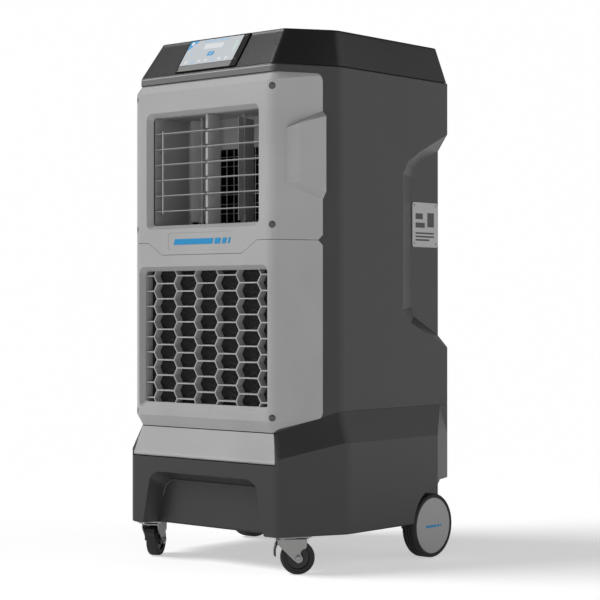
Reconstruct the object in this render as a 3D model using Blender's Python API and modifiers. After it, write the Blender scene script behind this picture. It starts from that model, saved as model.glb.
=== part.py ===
"""Portable evaporative cooler on wheels, built as separate sub-parts.

Metres, +Z up, the air outlet towards -Y. The origin is on the floor under the middle of the machine.
"""

import math

import bmesh
import bpy
from mathutils import Matrix, Vector

# Overall driving dimensions
GAP = 0.0003
HEIGHT = 1.208
FRONT_Y = -0.276
REAR_Y = 0.276
BODY_HALF = 0.283
BASE_HALF = 0.307
CORNER_RADIUS, SIDE_RADIUS = 0.020, 0.050

# Levels
BASE_BOTTOM = 0.086
BAND_LOW = (0.243, 0.288)  # lower edge of the sloping shoulder at the front and at the sides
BAND_TOP = (0.313, 0.357)
BODY_TOP = 1.124
SEAM_SIDE, SEAM_MIDDLE = 0.737, 0.7085

# Plan corners of the right half: front corner, side corner
BODY_FRONT_Y = -0.260
BODY_A, BODY_B = (0.209, BODY_FRONT_Y), (BODY_HALF, -0.120)
BASE_A, BASE_B = (0.2295, -0.275), (BASE_HALF, -0.124)
WALL = 0.004

# Front covers
FACE_HALF = 0.217
COVER_END = (0.2647, -0.1624)
BEND_RADIUS = 0.033
COVER_TOP, COVER_BOTTOM = 1.105, 0.3135
TOP_BEVEL, BOTTOM_BEVEL = 0.021, 0.026

# Openings: half width, bottom, top
OUTLET = (0.168, 0.777, 1.028)
OUTLET_RIM = (0.177, 0.768, 1.037)
INTAKE = (0.1935, 0.369, 0.672)
INTAKE_RIM = (0.202, 0.355, 0.682)

# Louvers
BLADE_COUNT, BLADE_PITCH, BLADE_LOW = 6, 0.036, 0.811
BLADE_PIVOT_Y, BLADE_CHORD = -0.248, 0.021
TIE_X, TIE_Y = -0.1435, -0.2545
VANE_X, VANE_Y, VANE_FLARE = 0.066, -0.2045, 16.0
DUCT_BACK = -0.143

# Blower, all about one axis along X
SCROLL_Y, SCROLL_Z = 0.060, 0.795
SCROLL_HALF = 0.155

# Wheels
WHEEL_RADIUS, WHEEL_Y, WHEEL_IN, WHEEL_OUT = 0.075, 0.200, 0.261, 0.299
CASTER_RADIUS, CASTER_TRAIL = 0.0375, 0.014
CASTER_AXLE = (0.223, -0.200)
CASTER_YAW = {"left": 28.0, "right": -42.0}  # direction of each wheel axis in plan

PART = "evaporative_cooler"


def clear_scene():
    for obj in list(bpy.data.objects):
        bpy.data.objects.remove(obj)
    for name in (PART, "cutters"):
        bpy.context.scene.collection.children.link(bpy.data.collections.new(name))


def material(name, colour, roughness, metallic=0.0):
    made = bpy.data.materials.get(name)
    if made:
        return made
    made = bpy.data.materials.new(name)
    made.use_nodes = True
    shader = made.node_tree.nodes["Principled BSDF"]
    shader.inputs["Base Color"].default_value = (*colour, 1)
    shader.inputs["Roughness"].default_value = roughness
    shader.inputs["Metallic"].default_value = metallic
    return made


def light_plastic():
    return material("light_grey_plastic", (0.38, 0.38, 0.38), 0.45)


def dark_plastic():
    return material("dark_grey_plastic", (0.075, 0.078, 0.078), 0.5)


def black_plastic():
    return material("black_plastic", (0.01, 0.01, 0.01), 0.4)


def rubber():
    return material("black_rubber", (0.012, 0.012, 0.012), 0.75)


def zinc():
    return material("zinc_steel", (0.55, 0.56, 0.58), 0.35, 1.0)


def finish(name, bm, mat):
    """Puts a bmesh in the part's collection as one object with outward faces."""
    bmesh.ops.recalc_face_normals(bm, faces=bm.faces)
    mesh = bpy.data.meshes.new(name)
    bm.to_mesh(mesh)
    bm.free()
    return link(name, mesh, mat)


def link(name, mesh, mat):
    obj = bpy.data.objects.new(name, mesh)
    bpy.data.collections[PART].objects.link(obj)
    if mat:
        mesh.materials.append(mat)
    return obj


def as_cutter(obj):
    bpy.data.collections[PART].objects.unlink(obj)
    bpy.data.collections["cutters"].objects.link(obj)
    obj.hide_render = True
    obj.display_type = "WIRE"
    return obj


def boolean(obj, other, operation):
    as_cutter(other)
    modifier = obj.modifiers.new(operation.lower() + "_" + other.name, "BOOLEAN")
    modifier.operation = operation
    modifier.object = other
    modifier.solver = "EXACT"


def cut(obj, *others):
    for other in others:
        boolean(obj, other, "DIFFERENCE")


def join(obj, *others):
    for other in others:
        boolean(obj, other, "UNION")


def shade(obj, degrees=35):
    obj.data.shade_smooth()
    obj.data.set_sharp_from_angle(angle=math.radians(degrees))


def fillet(corners, segments=3):
    """The outline's corners (u, v, radius) as points, each rounded one as an arc."""
    points = []
    for i, (u, v, radius) in enumerate(corners):
        here = Vector((u, v))
        if not radius:
            points.append((u, v))
            continue
        back = (Vector(corners[i - 1][:2]) - here).normalized()
        ahead = (Vector(corners[(i + 1) % len(corners)][:2]) - here).normalized()
        half = back.angle(ahead) / 2
        centre = here + (back + ahead).normalized() * radius / math.sin(half)
        first = here + back * radius / math.tan(half) - centre
        last = here + ahead * radius / math.tan(half) - centre
        start = math.atan2(first.y, first.x)
        sweep = (math.atan2(last.y, last.x) - start + math.pi) % math.tau - math.pi
        for k in range(segments + 1):
            angle = start + sweep * k / segments
            points.append((centre.x + radius * math.cos(angle), centre.y + radius * math.sin(angle)))
    return points


def mirrored(half):
    """A right half from front to rear, then the left half from rear to front."""
    return half + [(-corner[0], *corner[1:]) for corner in reversed(half)]


def is_flat(face):
    first = face.verts[0].co
    return all(abs((vert.co - first).dot(face.normal)) < 1e-7 for vert in face.verts)


def loft(name, rings, mat, closed=False, capped=True):
    """Skins rings of equally many points. A closed loft joins its last ring to its first."""
    bm = bmesh.new()
    rows = [[bm.verts.new(point) for point in ring] for ring in rings]
    pairs = list(zip(rows, rows[1:])) + ([(rows[-1], rows[0])] if closed else [])
    for low, high in pairs:
        for i in range(len(low)):
            j = (i + 1) % len(low)
            bm.faces.new((low[i], low[j], high[j], high[i]))
    if capped and not closed:
        bm.faces.new(rows[0])
        bm.faces.new(rows[-1])
    bmesh.ops.recalc_face_normals(bm, faces=bm.faces)
    bent = [face for face in bm.faces if len(face.verts) == 4 and not is_flat(face)]
    bmesh.ops.triangulate(bm, faces=bent)
    return finish(name, bm, mat)


def outline_mesh(name, loops, thickness):
    """A flat outline with holes, from a filled 2D curve, as a welded mesh around z = 0."""
    curve = bpy.data.curves.new(name + "_outline", "CURVE")
    curve.dimensions = "2D"
    curve.fill_mode = "BOTH"
    curve.extrude = thickness / 2
    for loop in loops:
        spline = curve.splines.new("POLY")
        spline.points.add(len(loop) - 1)
        for point, (u, v) in zip(spline.points, loop):
            point.co = (u, v, 0, 1)
        spline.use_cyclic_u = True
    holder = bpy.data.objects.new(name + "_outline", curve)
    bpy.context.scene.collection.objects.link(holder)
    graph = bpy.context.evaluated_depsgraph_get()
    mesh = bpy.data.meshes.new_from_object(holder.evaluated_get(graph))
    bpy.data.objects.remove(holder)
    bm = bmesh.new()
    bm.from_mesh(mesh)
    bmesh.ops.remove_doubles(bm, verts=bm.verts, dist=1e-6)
    bmesh.ops.recalc_face_normals(bm, faces=bm.faces)
    bm.to_mesh(mesh)
    bm.free()
    return mesh


# Each maps the outline's (u, v) and its thickness direction onto the part's axes
PLANES = {
    "X": Matrix(((0, 0, 1), (1, 0, 0), (0, 1, 0))),  # u = Y, v = Z, thickness along X
    "Y": Matrix(((1, 0, 0), (0, 0, -1), (0, 1, 0))),  # u = X, v = Z, thickness along Y
    "Z": Matrix.Identity(3),
}


def extrusion(name, loops, axis, low, high, mat):
    """Loops extruded along one axis, from low to high. The first loop is the outside, the rest are holes."""
    mesh = outline_mesh(name, loops, high - low)
    turn = PLANES[axis].to_4x4()
    shift = Matrix.Translation(Vector([(low + high) / 2 if axis == letter else 0 for letter in "XYZ"]))
    mesh.transform(shift @ turn)
    return link(name, mesh, mat)


def rectangle(half, low, high, radius=0.0):
    """Corners of a rectangle that is symmetric about u = 0."""
    return [(half, low, radius), (half, high, radius), (-half, high, radius), (-half, low, radius)]


def box(name, low, high, mat):
    """A block between two corners."""
    bm = bmesh.new()
    bmesh.ops.create_cube(bm, size=1)
    low, high = Vector(low), Vector(high)
    for vert in bm.verts:
        vert.co = [(low[k] + high[k]) / 2 + vert.co[k] * (high[k] - low[k]) for k in range(3)]
    return finish(name, bm, mat)


def cylinder(name, start, end, radius, mat, sides=24, end_radius=None):
    """A round bar, or a cone, between two points."""
    start, end = Vector(start), Vector(end)
    along = end - start
    bm = bmesh.new()
    bmesh.ops.create_cone(
        bm, cap_ends=True, segments=sides, depth=along.length,
        radius1=radius, radius2=radius if end_radius is None else end_radius,
    )
    turn = along.to_track_quat("Z", "Y").to_matrix().to_4x4()
    bmesh.ops.transform(bm, matrix=Matrix.Translation((start + end) / 2) @ turn, verts=bm.verts)
    obj = finish(name, bm, mat)
    shade(obj)
    return obj


def turned(name, profile, mat, steps=32):
    """A profile (radius, height) turned about Z by a Screw modifier. It runs down its outer side."""
    mesh = bpy.data.meshes.new(name)
    points = [(radius, 0, height) for radius, height in profile]
    count = len(points)
    mesh.from_pydata(points, [(i, (i + 1) % count) for i in range(count)], [])
    obj = link(name, mesh, mat)
    screw = obj.modifiers.new("turn", "SCREW")
    screw.steps = screw.render_steps = steps
    screw.use_merge_vertices = True
    screw.merge_threshold = 1e-6
    screw.use_smooth_shade = True
    return obj


def axis_along_x(obj, location, outward=1):
    """Lays a piece turned about Z so that its axis runs along X."""
    obj.location = location
    obj.rotation_euler = (0, math.radians(90 * outward), 0)
    return obj


def slope_height(x, levels):
    """Height of a line that is level at the front and sides and rises along the chamfer."""
    along = (abs(x) - BODY_A[0]) / (BODY_B[0] - BODY_A[0])
    return levels[0] + (levels[1] - levels[0]) * min(max(along, 0), 1)


def base_plan(inset=0.0):
    half = [
        (BASE_A[0] - inset * 0.65, BASE_A[1] + inset, CORNER_RADIUS),
        (BASE_B[0] - inset, BASE_B[1] + inset * 0.25, SIDE_RADIUS),
        (BASE_HALF - inset, 0.205, 0),
        (BODY_HALF - inset, REAR_Y - inset, 0),
    ]
    return fillet(mirrored(half))


def body_plan(inset=0.0, rear_side_y=0.246):
    """The body's plan, with the extra side point that the base's rear corner needs."""
    half = [
        (BODY_A[0] - inset * 0.65, BODY_A[1] + inset, CORNER_RADIUS),
        (BODY_B[0] - inset, BODY_B[1] + inset * 0.25, SIDE_RADIUS),
        (BODY_HALF - inset, rear_side_y, 0),
        (BODY_HALF - inset, REAR_Y - inset, 0),
    ]
    return fillet(mirrored(half))


def at_level(plan, z):
    return [(x, y, z) for x, y in plan]


def on_slope(plan, levels, lift=0.0, like=None):
    """The plan's points on the sloping line, at the heights of another plan's points where one is given."""
    return [(x, y, slope_height(other[0], levels) + lift) for (x, y), other in zip(plan, like or plan)]


# ---------------------------------------------------------------- tank base


def toe_recess():
    """Cutter for the front recess, open at the bottom and narrowing upwards and inwards."""
    def section(y, foot, side, side_z, top, top_z):
        half = [(foot, 0.060), (side, side_z - 0.006), (side - 0.006, side_z + 0.008), (top, top_z)]
        return [(x, y, z) for x, z in half] + [(-x, y, z) for x, z in reversed(half)]
    outer = section(-0.290, 0.2010, 0.1705, 0.200, 0.1450, 0.216)
    inner = section(-0.233, 0.1890, 0.1580, 0.172, 0.1370, 0.189)
    return loft("toe_recess", [outer, inner], None)


def wheel_well(side):
    """Cutter for one wheel well: an arch that is open downwards and to the rear."""
    arch_radius, centre_z = 0.086, 0.082
    arch = [
        (
            WHEEL_Y + arch_radius * math.cos(math.radians(a)),
            centre_z + arch_radius * math.sin(math.radians(a)),
        )
        for a in range(180, 89, -15)
    ]
    outline = [(WHEEL_Y - arch_radius, 0.060), *arch, (0.222, 0.182), (0.300, 0.182), (0.300, 0.060)]
    low, high = (0.255, 0.330) if side > 0 else (-0.330, -0.255)
    return extrusion(f"wheel_well_{side}", [outline], "X", low, high, None)


def tank_base():
    grey = dark_plastic()
    rim = body_plan(0.005)
    base = loft("tank_base", [
        at_level(base_plan(0.004), BASE_BOTTOM),
        at_level(base_plan(), BASE_BOTTOM + 0.004),
        on_slope(base_plan(), BAND_LOW),
        on_slope(body_plan(), BAND_TOP),
        on_slope(rim, BAND_TOP),
        at_level(rim, 0.228),
    ], grey)
    cut(base, box("tank_hollow", (-0.246, -0.226, 0.092), (0.246, 0.238, 0.229), None))
    cut(base, toe_recess(), wheel_well(1), wheel_well(-1))
    mouth = [
        [(x, y, z) for x, y in ((-half, -0.300), (half, -0.300), (half, -0.235), (-half, -0.235))]
        for half, z in ((0.2248, 0.2425), (0.2052, 0.3128))
    ]
    cut(base, loft("fill_opening", mouth, None))
    cut(base, box("service_pocket", (-0.190, 0.246, 0.115), (0.190, 0.300, 0.205), None))
    for side in (-1, 1):
        lug = box(
            f"axle_lug_{side}", (side * 0.215, WHEEL_Y - 0.016, 0.0625),
            (side * 0.240, WHEEL_Y + 0.016, 0.090), None,
        )
        join(base, lug)
    cut(
        base,
        cylinder(
            "axle_bore", (-0.3, WHEEL_Y, WHEEL_RADIUS), (0.3, WHEEL_Y, WHEEL_RADIUS), 0.0066, None, 16
        ),
    )
    cut(base, cylinder("drain_bore", (0, 0.2, 0.140), (0, 0.3, 0.140), 0.0125, None, 16))
    cut(base, cylinder("inlet_bore", (-0.130, 0.2, 0.160), (-0.130, 0.3, 0.160), 0.0085, None, 16))
    return base


def door_slope(t, depth=0.0):
    """A point (y, z) on the front shoulder: t from 0 at its foot to 1 at its top, depth into the wall."""
    foot, head = Vector((BASE_A[1], BAND_LOW[0])), Vector((BODY_FRONT_Y, BAND_TOP[0]))
    along = head - foot
    inward = Vector((along.y, -along.x)).normalized()
    return tuple(foot + along * t + inward * depth)


def fill_door():
    """Front filling panel, narrower at its top, with a hinge barrel along its foot."""
    rings = [
        [
            (-half, *door_slope(t)), (half, *door_slope(t)), (half, *door_slope(t, 0.003)),
            (-half, *door_slope(t, 0.003)),
        ]
        for half, t in ((0.2222, 0.10), (0.2051, 0.975))
    ]
    door = loft("fill_door", rings, light_plastic())
    hinge = Vector((-0.2695, 0.2486))
    barrel = cylinder("door_barrel", (-0.2213, *hinge), (0.2213, *hinge), 0.0048, None, 16)
    bore = cylinder("door_bore", (-0.3, *hinge), (0.3, *hinge), 0.0026, None, 12)
    join(door, barrel)
    cut(door, bore)
    cylinder("fill_door_pin", (-0.2219, *hinge), (0.2219, *hinge), 0.0022, zinc(), 12)


# ---------------------------------------------------------------- body shell and cap


def side_recess(side):
    """Cutter for the bevelled recess in the rear half of one side."""
    outer = [(0.300, 1.0106), (0.164, 0.951), (0.122, 0.927), (0.103, 0.897),
             (0.103, 0.584), (0.133, 0.552), (0.243, 0.506), (0.300, 0.482)]
    inner = [(0.300, 0.9715), (0.208, 0.937), (0.180, 0.916), (0.171, 0.895),
             (0.171, 0.588), (0.180, 0.567), (0.273, 0.522), (0.300, 0.509)]
    beyond = 0.25
    rings = [
        [
            (side * 0.290, y + beyond * (y - v), z + beyond * (z - w))
            for (y, z), (v, w) in zip(outer, inner)
        ],
        [(side * 0.255, y, z) for y, z in inner],
    ]
    return loft(f"side_recess_{side}", rings, None)


def shell_plan(half_width, front_inset, rear):
    """Plan of the body with a step in its sides, so that the inside clears the side recesses."""
    half = [
        (BODY_A[0] - front_inset * 0.65, BODY_A[1] + front_inset, CORNER_RADIUS),
        (BODY_B[0] - front_inset, BODY_B[1] + front_inset * 0.25, SIDE_RADIUS),
        (BODY_HALF - front_inset, 0.088, 0),
        (half_width, 0.098, 0),
        (half_width, rear, 0),
    ]
    return fillet(mirrored(half))


RIM_PROUD, RIM_BOTTOM = 0.0055, 1.1054  # the body's top edge stands proud at the front, above the upper cover


def rim_plan(inset=0.0):
    """The body's plan at its top edge, with the front brought forward."""
    half = [
        (BODY_A[0] - inset * 0.65, BODY_A[1] - RIM_PROUD + inset, CORNER_RADIUS),
        (BODY_B[0] - inset, BODY_B[1] + inset * 0.25, SIDE_RADIUS),
        (BODY_HALF - inset, 0.088, 0),
        (BODY_HALF - inset, 0.098, 0),
        (BODY_HALF - inset, REAR_Y - inset, 0),
    ]
    return fillet(mirrored(half))


def main_housing():
    grey = dark_plastic()
    outer, inner = shell_plan(BODY_HALF, 0, REAR_Y), shell_plan(0.251, WALL, REAR_Y - WALL)
    housing = loft("main_housing", [
        on_slope(outer, BAND_TOP, GAP),
        at_level(outer, RIM_BOTTOM),
        at_level(rim_plan(), RIM_BOTTOM + 0.0002),
        at_level(rim_plan(), BODY_TOP - 0.003),
        at_level(rim_plan(0.003), BODY_TOP),
        at_level(inner, BODY_TOP),
        on_slope(inner, BAND_TOP, GAP, outer),
    ], grey, closed=True)
    half, low, high = OUTLET
    cut(
        housing,
        box("outlet_cut", (-half - 0.001, -0.30, low - 0.001), (half + 0.001, -0.25, high + 0.001), None),
    )
    cut(housing, box("intake_cut", (-0.198, -0.30, 0.362), (0.198, -0.25, 0.679), None))
    cut(housing, box("rear_cut", (-0.225, 0.26, 0.400), (0.225, 0.30, 1.080), None))
    cut(housing, side_recess(1), side_recess(-1))
    return housing


def rear_panel():
    panel = extrusion(
        "rear_panel", [fillet(rectangle(0.2247, 0.4003, 1.0797, 0.0))], "Y", 0.2722, 0.2757,
        dark_plastic(),
    )
    for k in range(5):
        x = -0.16 + 0.08 * k
        cut(panel, box(f"panel_groove_{k}", (x - 0.012, 0.2742, 0.45), (x + 0.012, 0.28, 1.03), None))


CAP_FOOT, CAP_HEAD = -0.0035, 0.0520  # how far the cap's front is behind the body's front, low and high


def cap_plan(front, corner_x, side_x, side_y, rear):
    half = [
        (corner_x, BODY_FRONT_Y + front, CORNER_RADIUS),
        (side_x, side_y, SIDE_RADIUS),
        (side_x, rear, 0.006),
    ]
    return fillet(mirrored(half))


def top_cap():
    foot_z = BODY_TOP + GAP
    foot = cap_plan(CAP_FOOT, 0.2080, 0.2827, -0.1192, 0.2757)
    head = cap_plan(CAP_HEAD, 0.193, 0.261, -0.108, 0.262)
    crown = cap_plan(CAP_HEAD + 0.003, 0.191, 0.258, -0.107, 0.259)
    inner_foot = cap_plan(CAP_FOOT + 0.005, 0.203, 0.275, -0.1165, 0.268)
    inner_head = cap_plan(CAP_HEAD + 0.004, 0.190, 0.257, -0.106, 0.257)
    cap = loft("top_cap", [
        at_level(inner_head, HEIGHT - 0.005),
        at_level(inner_foot, foot_z),
        at_level(foot, foot_z),
        at_level(head, HEIGHT - 0.002),
        at_level(crown, HEIGHT),
    ], dark_plastic())
    return cap


def on_cap_slope(x, along, raised):
    """A point on the cap's front slope: along from its foot, raised off its surface."""
    foot = Vector((0, BODY_FRONT_Y + CAP_FOOT, BODY_TOP + GAP))
    head = Vector((0, BODY_FRONT_Y + CAP_HEAD, HEIGHT - 0.002))
    up = (head - foot).normalized()
    out = Vector((0, -up.z, up.y))
    point = foot + up * along + out * raised
    return (x, point.y, point.z)


def display():
    """Flat control panel on the cap's front slope: a black frame with the display let into it."""
    def ring(left, right, low, high, raised):
        return [
            on_cap_slope(x, s, raised)
            for x, s in ((left, low), (right, low), (right, high), (left, high))
        ]
    body = loft("display_housing", [
        ring(-0.095, 0.095, 0.0020, 0.0980, GAP),
        ring(-0.095, 0.095, 0.0020, 0.0980, 0.0028),
        ring(-0.0942, 0.0942, 0.0028, 0.0972, 0.0036),
    ], black_plastic())
    window = (-0.092, 0.077, 0.0203, 0.0962)
    cut(body, loft("glass_pocket", [ring(*window, 0.0015), ring(*window, 0.010)], None))
    window = (-0.0917, 0.0767, 0.0206, 0.0959)
    loft(
        "display_glass", [ring(*window, 0.0018), ring(*window, 0.0034)],
        material("display_glass", (0.70, 0.74, 0.78), 0.12),
    )


# ---------------------------------------------------------------- front covers


def cover_stations(breaks):
    """Stations along the covers' path: outer point, inner point on the body, and thickness."""
    outer = fillet(
        [(0, FRONT_Y, 0), (FACE_HALF, FRONT_Y, BEND_RADIUS), (*COVER_END, 0), (0, 0, 0)], 5
    )[1:-1]
    arc, end = outer[:-1], outer[-1]
    inner_a = Vector((BODY_A[0], BODY_FRONT_Y)) + Vector((0.0001, -2 * GAP))
    inner_b = Vector((BODY_B[0], BODY_B[1])) + Vector((GAP * 2, -GAP))
    chamfer = (inner_b - inner_a).normalized()
    stations = [(Vector((x, FRONT_Y)), Vector((x, BODY_FRONT_Y - GAP))) for x in breaks]
    corner = fillet([(0, inner_a.y, 0), (*inner_a, CORNER_RADIUS), (*inner_b, 0), (0, 0, 0)], 5)[1:-2]
    stations += [(Vector(o), Vector(i)) for o, i in zip(arc, corner)]
    last_inner = inner_a + chamfer * ((Vector(end) - inner_a) @ chamfer)
    first_outer, first_inner = stations[-1]
    for t in (0.35, 0.7, 0.84, 0.92, 0.965, 1.0):
        stations.append((first_outer.lerp(Vector(end), t), first_inner.lerp(last_inner, t)))
    return [
        (outer_point, inner_point, (outer_point - inner_point).length)
        for outer_point, inner_point in stations
    ]


def cover(name, breaks, bottom, top):
    """A front cover lofted along its path. bottom and top give (inner z, outer z) at each station."""
    right = cover_stations(breaks)
    rings = []
    for sign in (-1, 1):
        stations = list(enumerate(right))
        for index, (outer, inner, thickness) in (reversed(stations) if sign < 0 else stations):
            if sign > 0 and outer.x == 0:
                continue
            lip = inner.lerp(outer, min(0.0008 / thickness, 0.3))
            low_in, low_out = bottom(outer.x, thickness, index - len(right) + 1)
            high_in, high_out = top(outer.x, thickness, index - len(right) + 1)
            section = (
                (inner, low_in), (lip, low_in), (outer, low_out), (outer, high_out), (lip, high_in),
                (inner, high_in),
            )
            rings.append([(sign * p.x, p.y, z) for p, z in section])
    return loft(name, rings, light_plastic())


def seam(x):
    """Height of the joint between the covers, lower in the middle of the face."""
    low, high = 0.126, 0.170
    t = min(max((abs(x) - low) / (high - low), 0), 1)
    return SEAM_MIDDLE + (SEAM_SIDE - SEAM_MIDDLE) * t


END_DROP = {
    -3: 0.0, -2: 0.003, -1: 0.007, 0: 0.014
}  # rounding of the covers' end corners, by station from the end
FULL_THICKNESS = 0.016


def bevel_drop(thickness, size):
    return size * min(thickness / FULL_THICKNESS, 1)


def upper_bezel():
    def bottom(x, thickness, from_end):
        z = seam(x) + 0.0004 + {-1: 0.004, 0: 0.011}.get(from_end, 0)
        return z, z

    def top(x, thickness, from_end):
        z = COVER_TOP - END_DROP.get(from_end, 0)
        return z, z - bevel_drop(thickness, TOP_BEVEL)

    bezel = cover("upper_bezel", (0, 0.126, 0.170), bottom, top)
    for side in (-1, 1):
        join(bezel, grip(side))
    cut_window(bezel, OUTLET, OUTLET_RIM)
    return bezel


def lower_bezel():
    def bottom(x, thickness, from_end):
        rise = (BAND_TOP[1] - BAND_TOP[0]) * max(x - BODY_A[0], 0) / (BODY_B[0] - BODY_A[0])
        z = COVER_BOTTOM + rise * 0.92 + {-1: 0.003, 0: 0.008}.get(from_end, 0)
        return z, z + bevel_drop(thickness, BOTTOM_BEVEL)

    def top(x, thickness, from_end):
        z = seam(x) - 0.0004 - {-1: 0.004, 0: 0.011}.get(from_end, 0)
        return z, z

    bezel = cover("lower_bezel", (0, 0.126, 0.170), bottom, top)
    cut_window(bezel, INTAKE, INTAKE_RIM)
    return bezel


def cut_window(bezel, inner, rim):
    """A window with a bevelled frame, from the rim on the face to the inner edge behind it."""
    def ring(shape, y, radius):
        half, low, high = shape
        return [(x, y, z) for x, z in fillet(rectangle(half, low, high, radius), 3)]
    beyond = [r + (r - i) * 0.4 for r, i in zip(rim, inner)]
    rings = [
        ring(beyond, FRONT_Y - 0.0056, 0.018), ring(inner, FRONT_Y + 0.014, 0.010),
        ring(inner, -0.240, 0.010),
    ]
    cut(bezel, loft(bezel.name + "_window", rings, None))


def on_angled_face(side, along, z, raised):
    """A point on the angled end face: along from the bend, raised off its surface."""
    start = Vector((FACE_HALF, FRONT_Y))
    direction = (Vector(COVER_END) - start).normalized()
    out = Vector((-direction.y, direction.x)) * -1
    point = start + direction * along + out * raised
    return (side * point.x, point.y, z)


def grip(side):
    """The faceted hand grip that stands out from the upper cover's angled face."""
    foot = [(0.032, 0.861), (0.1235, 0.826), (0.1235, 1.022), (0.032, 0.982)]
    head = [(0.058, 0.864), (0.1235, 0.843), (0.1235, 1.010), (0.058, 0.992)]
    rings = [
        [on_angled_face(side, s, z, -0.0015) for s, z in foot],
        [on_angled_face(side, s, z, 0.0) for s, z in foot],
        [on_angled_face(side, s, z, 0.0175) for s, z in head],
    ]
    return loft(f"grip_{side}", rings, None)


def bezel_screws(covers):
    """Six dark screws at the bends, in counterbores. The covers are cut to take them."""
    turn = math.radians(33.6)
    bend = Vector((0.2115, -0.2705))
    number = 0
    for z, owner in ((1.073, "upper"), (0.770, "upper"), (0.347, "lower")):
        for side in (-1, 1):
            number += 1
            out = Vector((side * math.sin(turn), -math.cos(turn), 0))
            face = Vector((side * bend.x, bend.y, z))
            cut(
                covers[owner],
                cylinder(f"counterbore_{number}", face - out * 0.0040, face + out * 0.02, 0.0078, None, 16),
            )
            cylinder(
                f"bezel_screw_{number}", face - out * 0.0037, face - out * 0.0010, 0.0074,
                black_plastic(), 16,
            )


# ---------------------------------------------------------------- intake side


def clip_to(points, half, low, high):
    """The part of a convex outline inside a rectangle."""
    edges = (
        lambda p: half - p[0], lambda p: half + p[0], lambda p: high - p[1], lambda p: p[1] - low,
    )
    for inside in edges:
        kept = []
        for here, ahead in zip(points, points[1:] + points[:1]):
            a, b = inside(here), inside(ahead)
            if a >= 0:
                kept.append(here)
            if (a >= 0) != (b >= 0):
                t = a / (a - b)
                kept.append((here[0] + (ahead[0] - here[0]) * t, here[1] + (ahead[1] - here[1]) * t))
        points = kept
        if not points:
            return []
    return points


HEX_PITCH_X, HEX_PITCH_Z, HEX_BAR_Z = 0.0653, 0.03535, 0.396
HEX_FLAT, HEX_TIP, HEX_HALF = 0.0267, 0.0362, 0.0162


def honeycomb_grille():
    """Grille of long hexagonal cells between a thin frame."""
    frame_half, frame_low, frame_high = 0.1975, 0.3624, 0.6786
    inside = (frame_half - 0.005, frame_low + 0.006, frame_high - 0.006)
    loops = [fillet(rectangle(frame_half, frame_low, frame_high))]
    for column in range(-3, 4):
        shift = HEX_PITCH_Z / 2 if column % 2 == 0 else 0
        for row in range(-2, 10):
            z = HEX_BAR_Z + shift + row * HEX_PITCH_Z
            x = column * HEX_PITCH_X
            cell = [
                (x + HEX_FLAT, z - HEX_HALF), (x + HEX_TIP, z), (x + HEX_FLAT, z + HEX_HALF),
                (x - HEX_FLAT, z + HEX_HALF), (x - HEX_TIP, z), (x - HEX_FLAT, z - HEX_HALF),
            ]
            cell = clip_to(cell, *inside)
            if len(cell) > 2 and max(p[1] for p in cell) - min(p[1] for p in cell) > 0.004:
                loops.append(cell)
    extrusion("honeycomb_grille", loops, "Y", -0.2597, -0.2407, light_plastic())


def cooling_system():
    """The wetted pad with the trough above it and the drip tray under it."""
    tray = box("pad_tray", (-0.196, -0.2556, 0.338), (0.196, -0.145, 0.3617), black_plastic())
    cut(tray, box("tray_hollow", (-0.193, -0.2500, 0.341), (0.193, -0.148, 0.37), None))
    cut(tray, box("tray_drain", (-0.150, -0.19, 0.33), (0.150, -0.17, 0.35), None))
    pad = box(
        "cooling_pad", (-0.1925, -0.2404, 0.3413), (0.1925, -0.1485, 0.6830),
        material("cooling_pad", (0.03, 0.025, 0.02), 0.9),
    )
    header = box("water_header", (-0.196, -0.2556, 0.6833), (0.196, -0.145, 0.7150), black_plastic())
    cut(header, box("header_hollow", (-0.193, -0.2500, 0.6863), (0.193, -0.148, 0.72), None))
    cut(header, box("header_slot", (-0.180, -0.20, 0.67), (0.180, -0.19, 0.69), None))
    return pad


def smooth_route(points, steps):
    """Points on a Catmull-Rom curve through the route's points."""
    ends = [points[0] * 2 - points[1], *points, points[-1] * 2 - points[-2]]
    route = []
    for a, b, c, d in zip(ends, ends[1:], ends[2:], ends[3:]):
        for k in range(steps):
            t = k / steps
            route.append(
                0.5 * (
                    2 * b + (c - a) * t + (
                        2 * a - 5 * b + 4 * c - d
                    ) * t * t + (3 * b - a - 3 * c + d) * t**3
                )
            )
    return route + [points[-1]]


def tube(name, points, radius, mat, resolution=2):
    curve = bpy.data.curves.new(name, "CURVE")
    curve.dimensions = "3D"
    curve.bevel_depth = radius
    curve.bevel_resolution = resolution
    curve.use_fill_caps = True
    spline = curve.splines.new("POLY")
    spline.points.add(len(points) - 1)
    for point, place in zip(spline.points, points):
        point.co = (*place, 1)
    obj = bpy.data.objects.new(name, curve)
    bpy.data.collections[PART].objects.link(obj)
    curve.materials.append(mat)
    return obj


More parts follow.
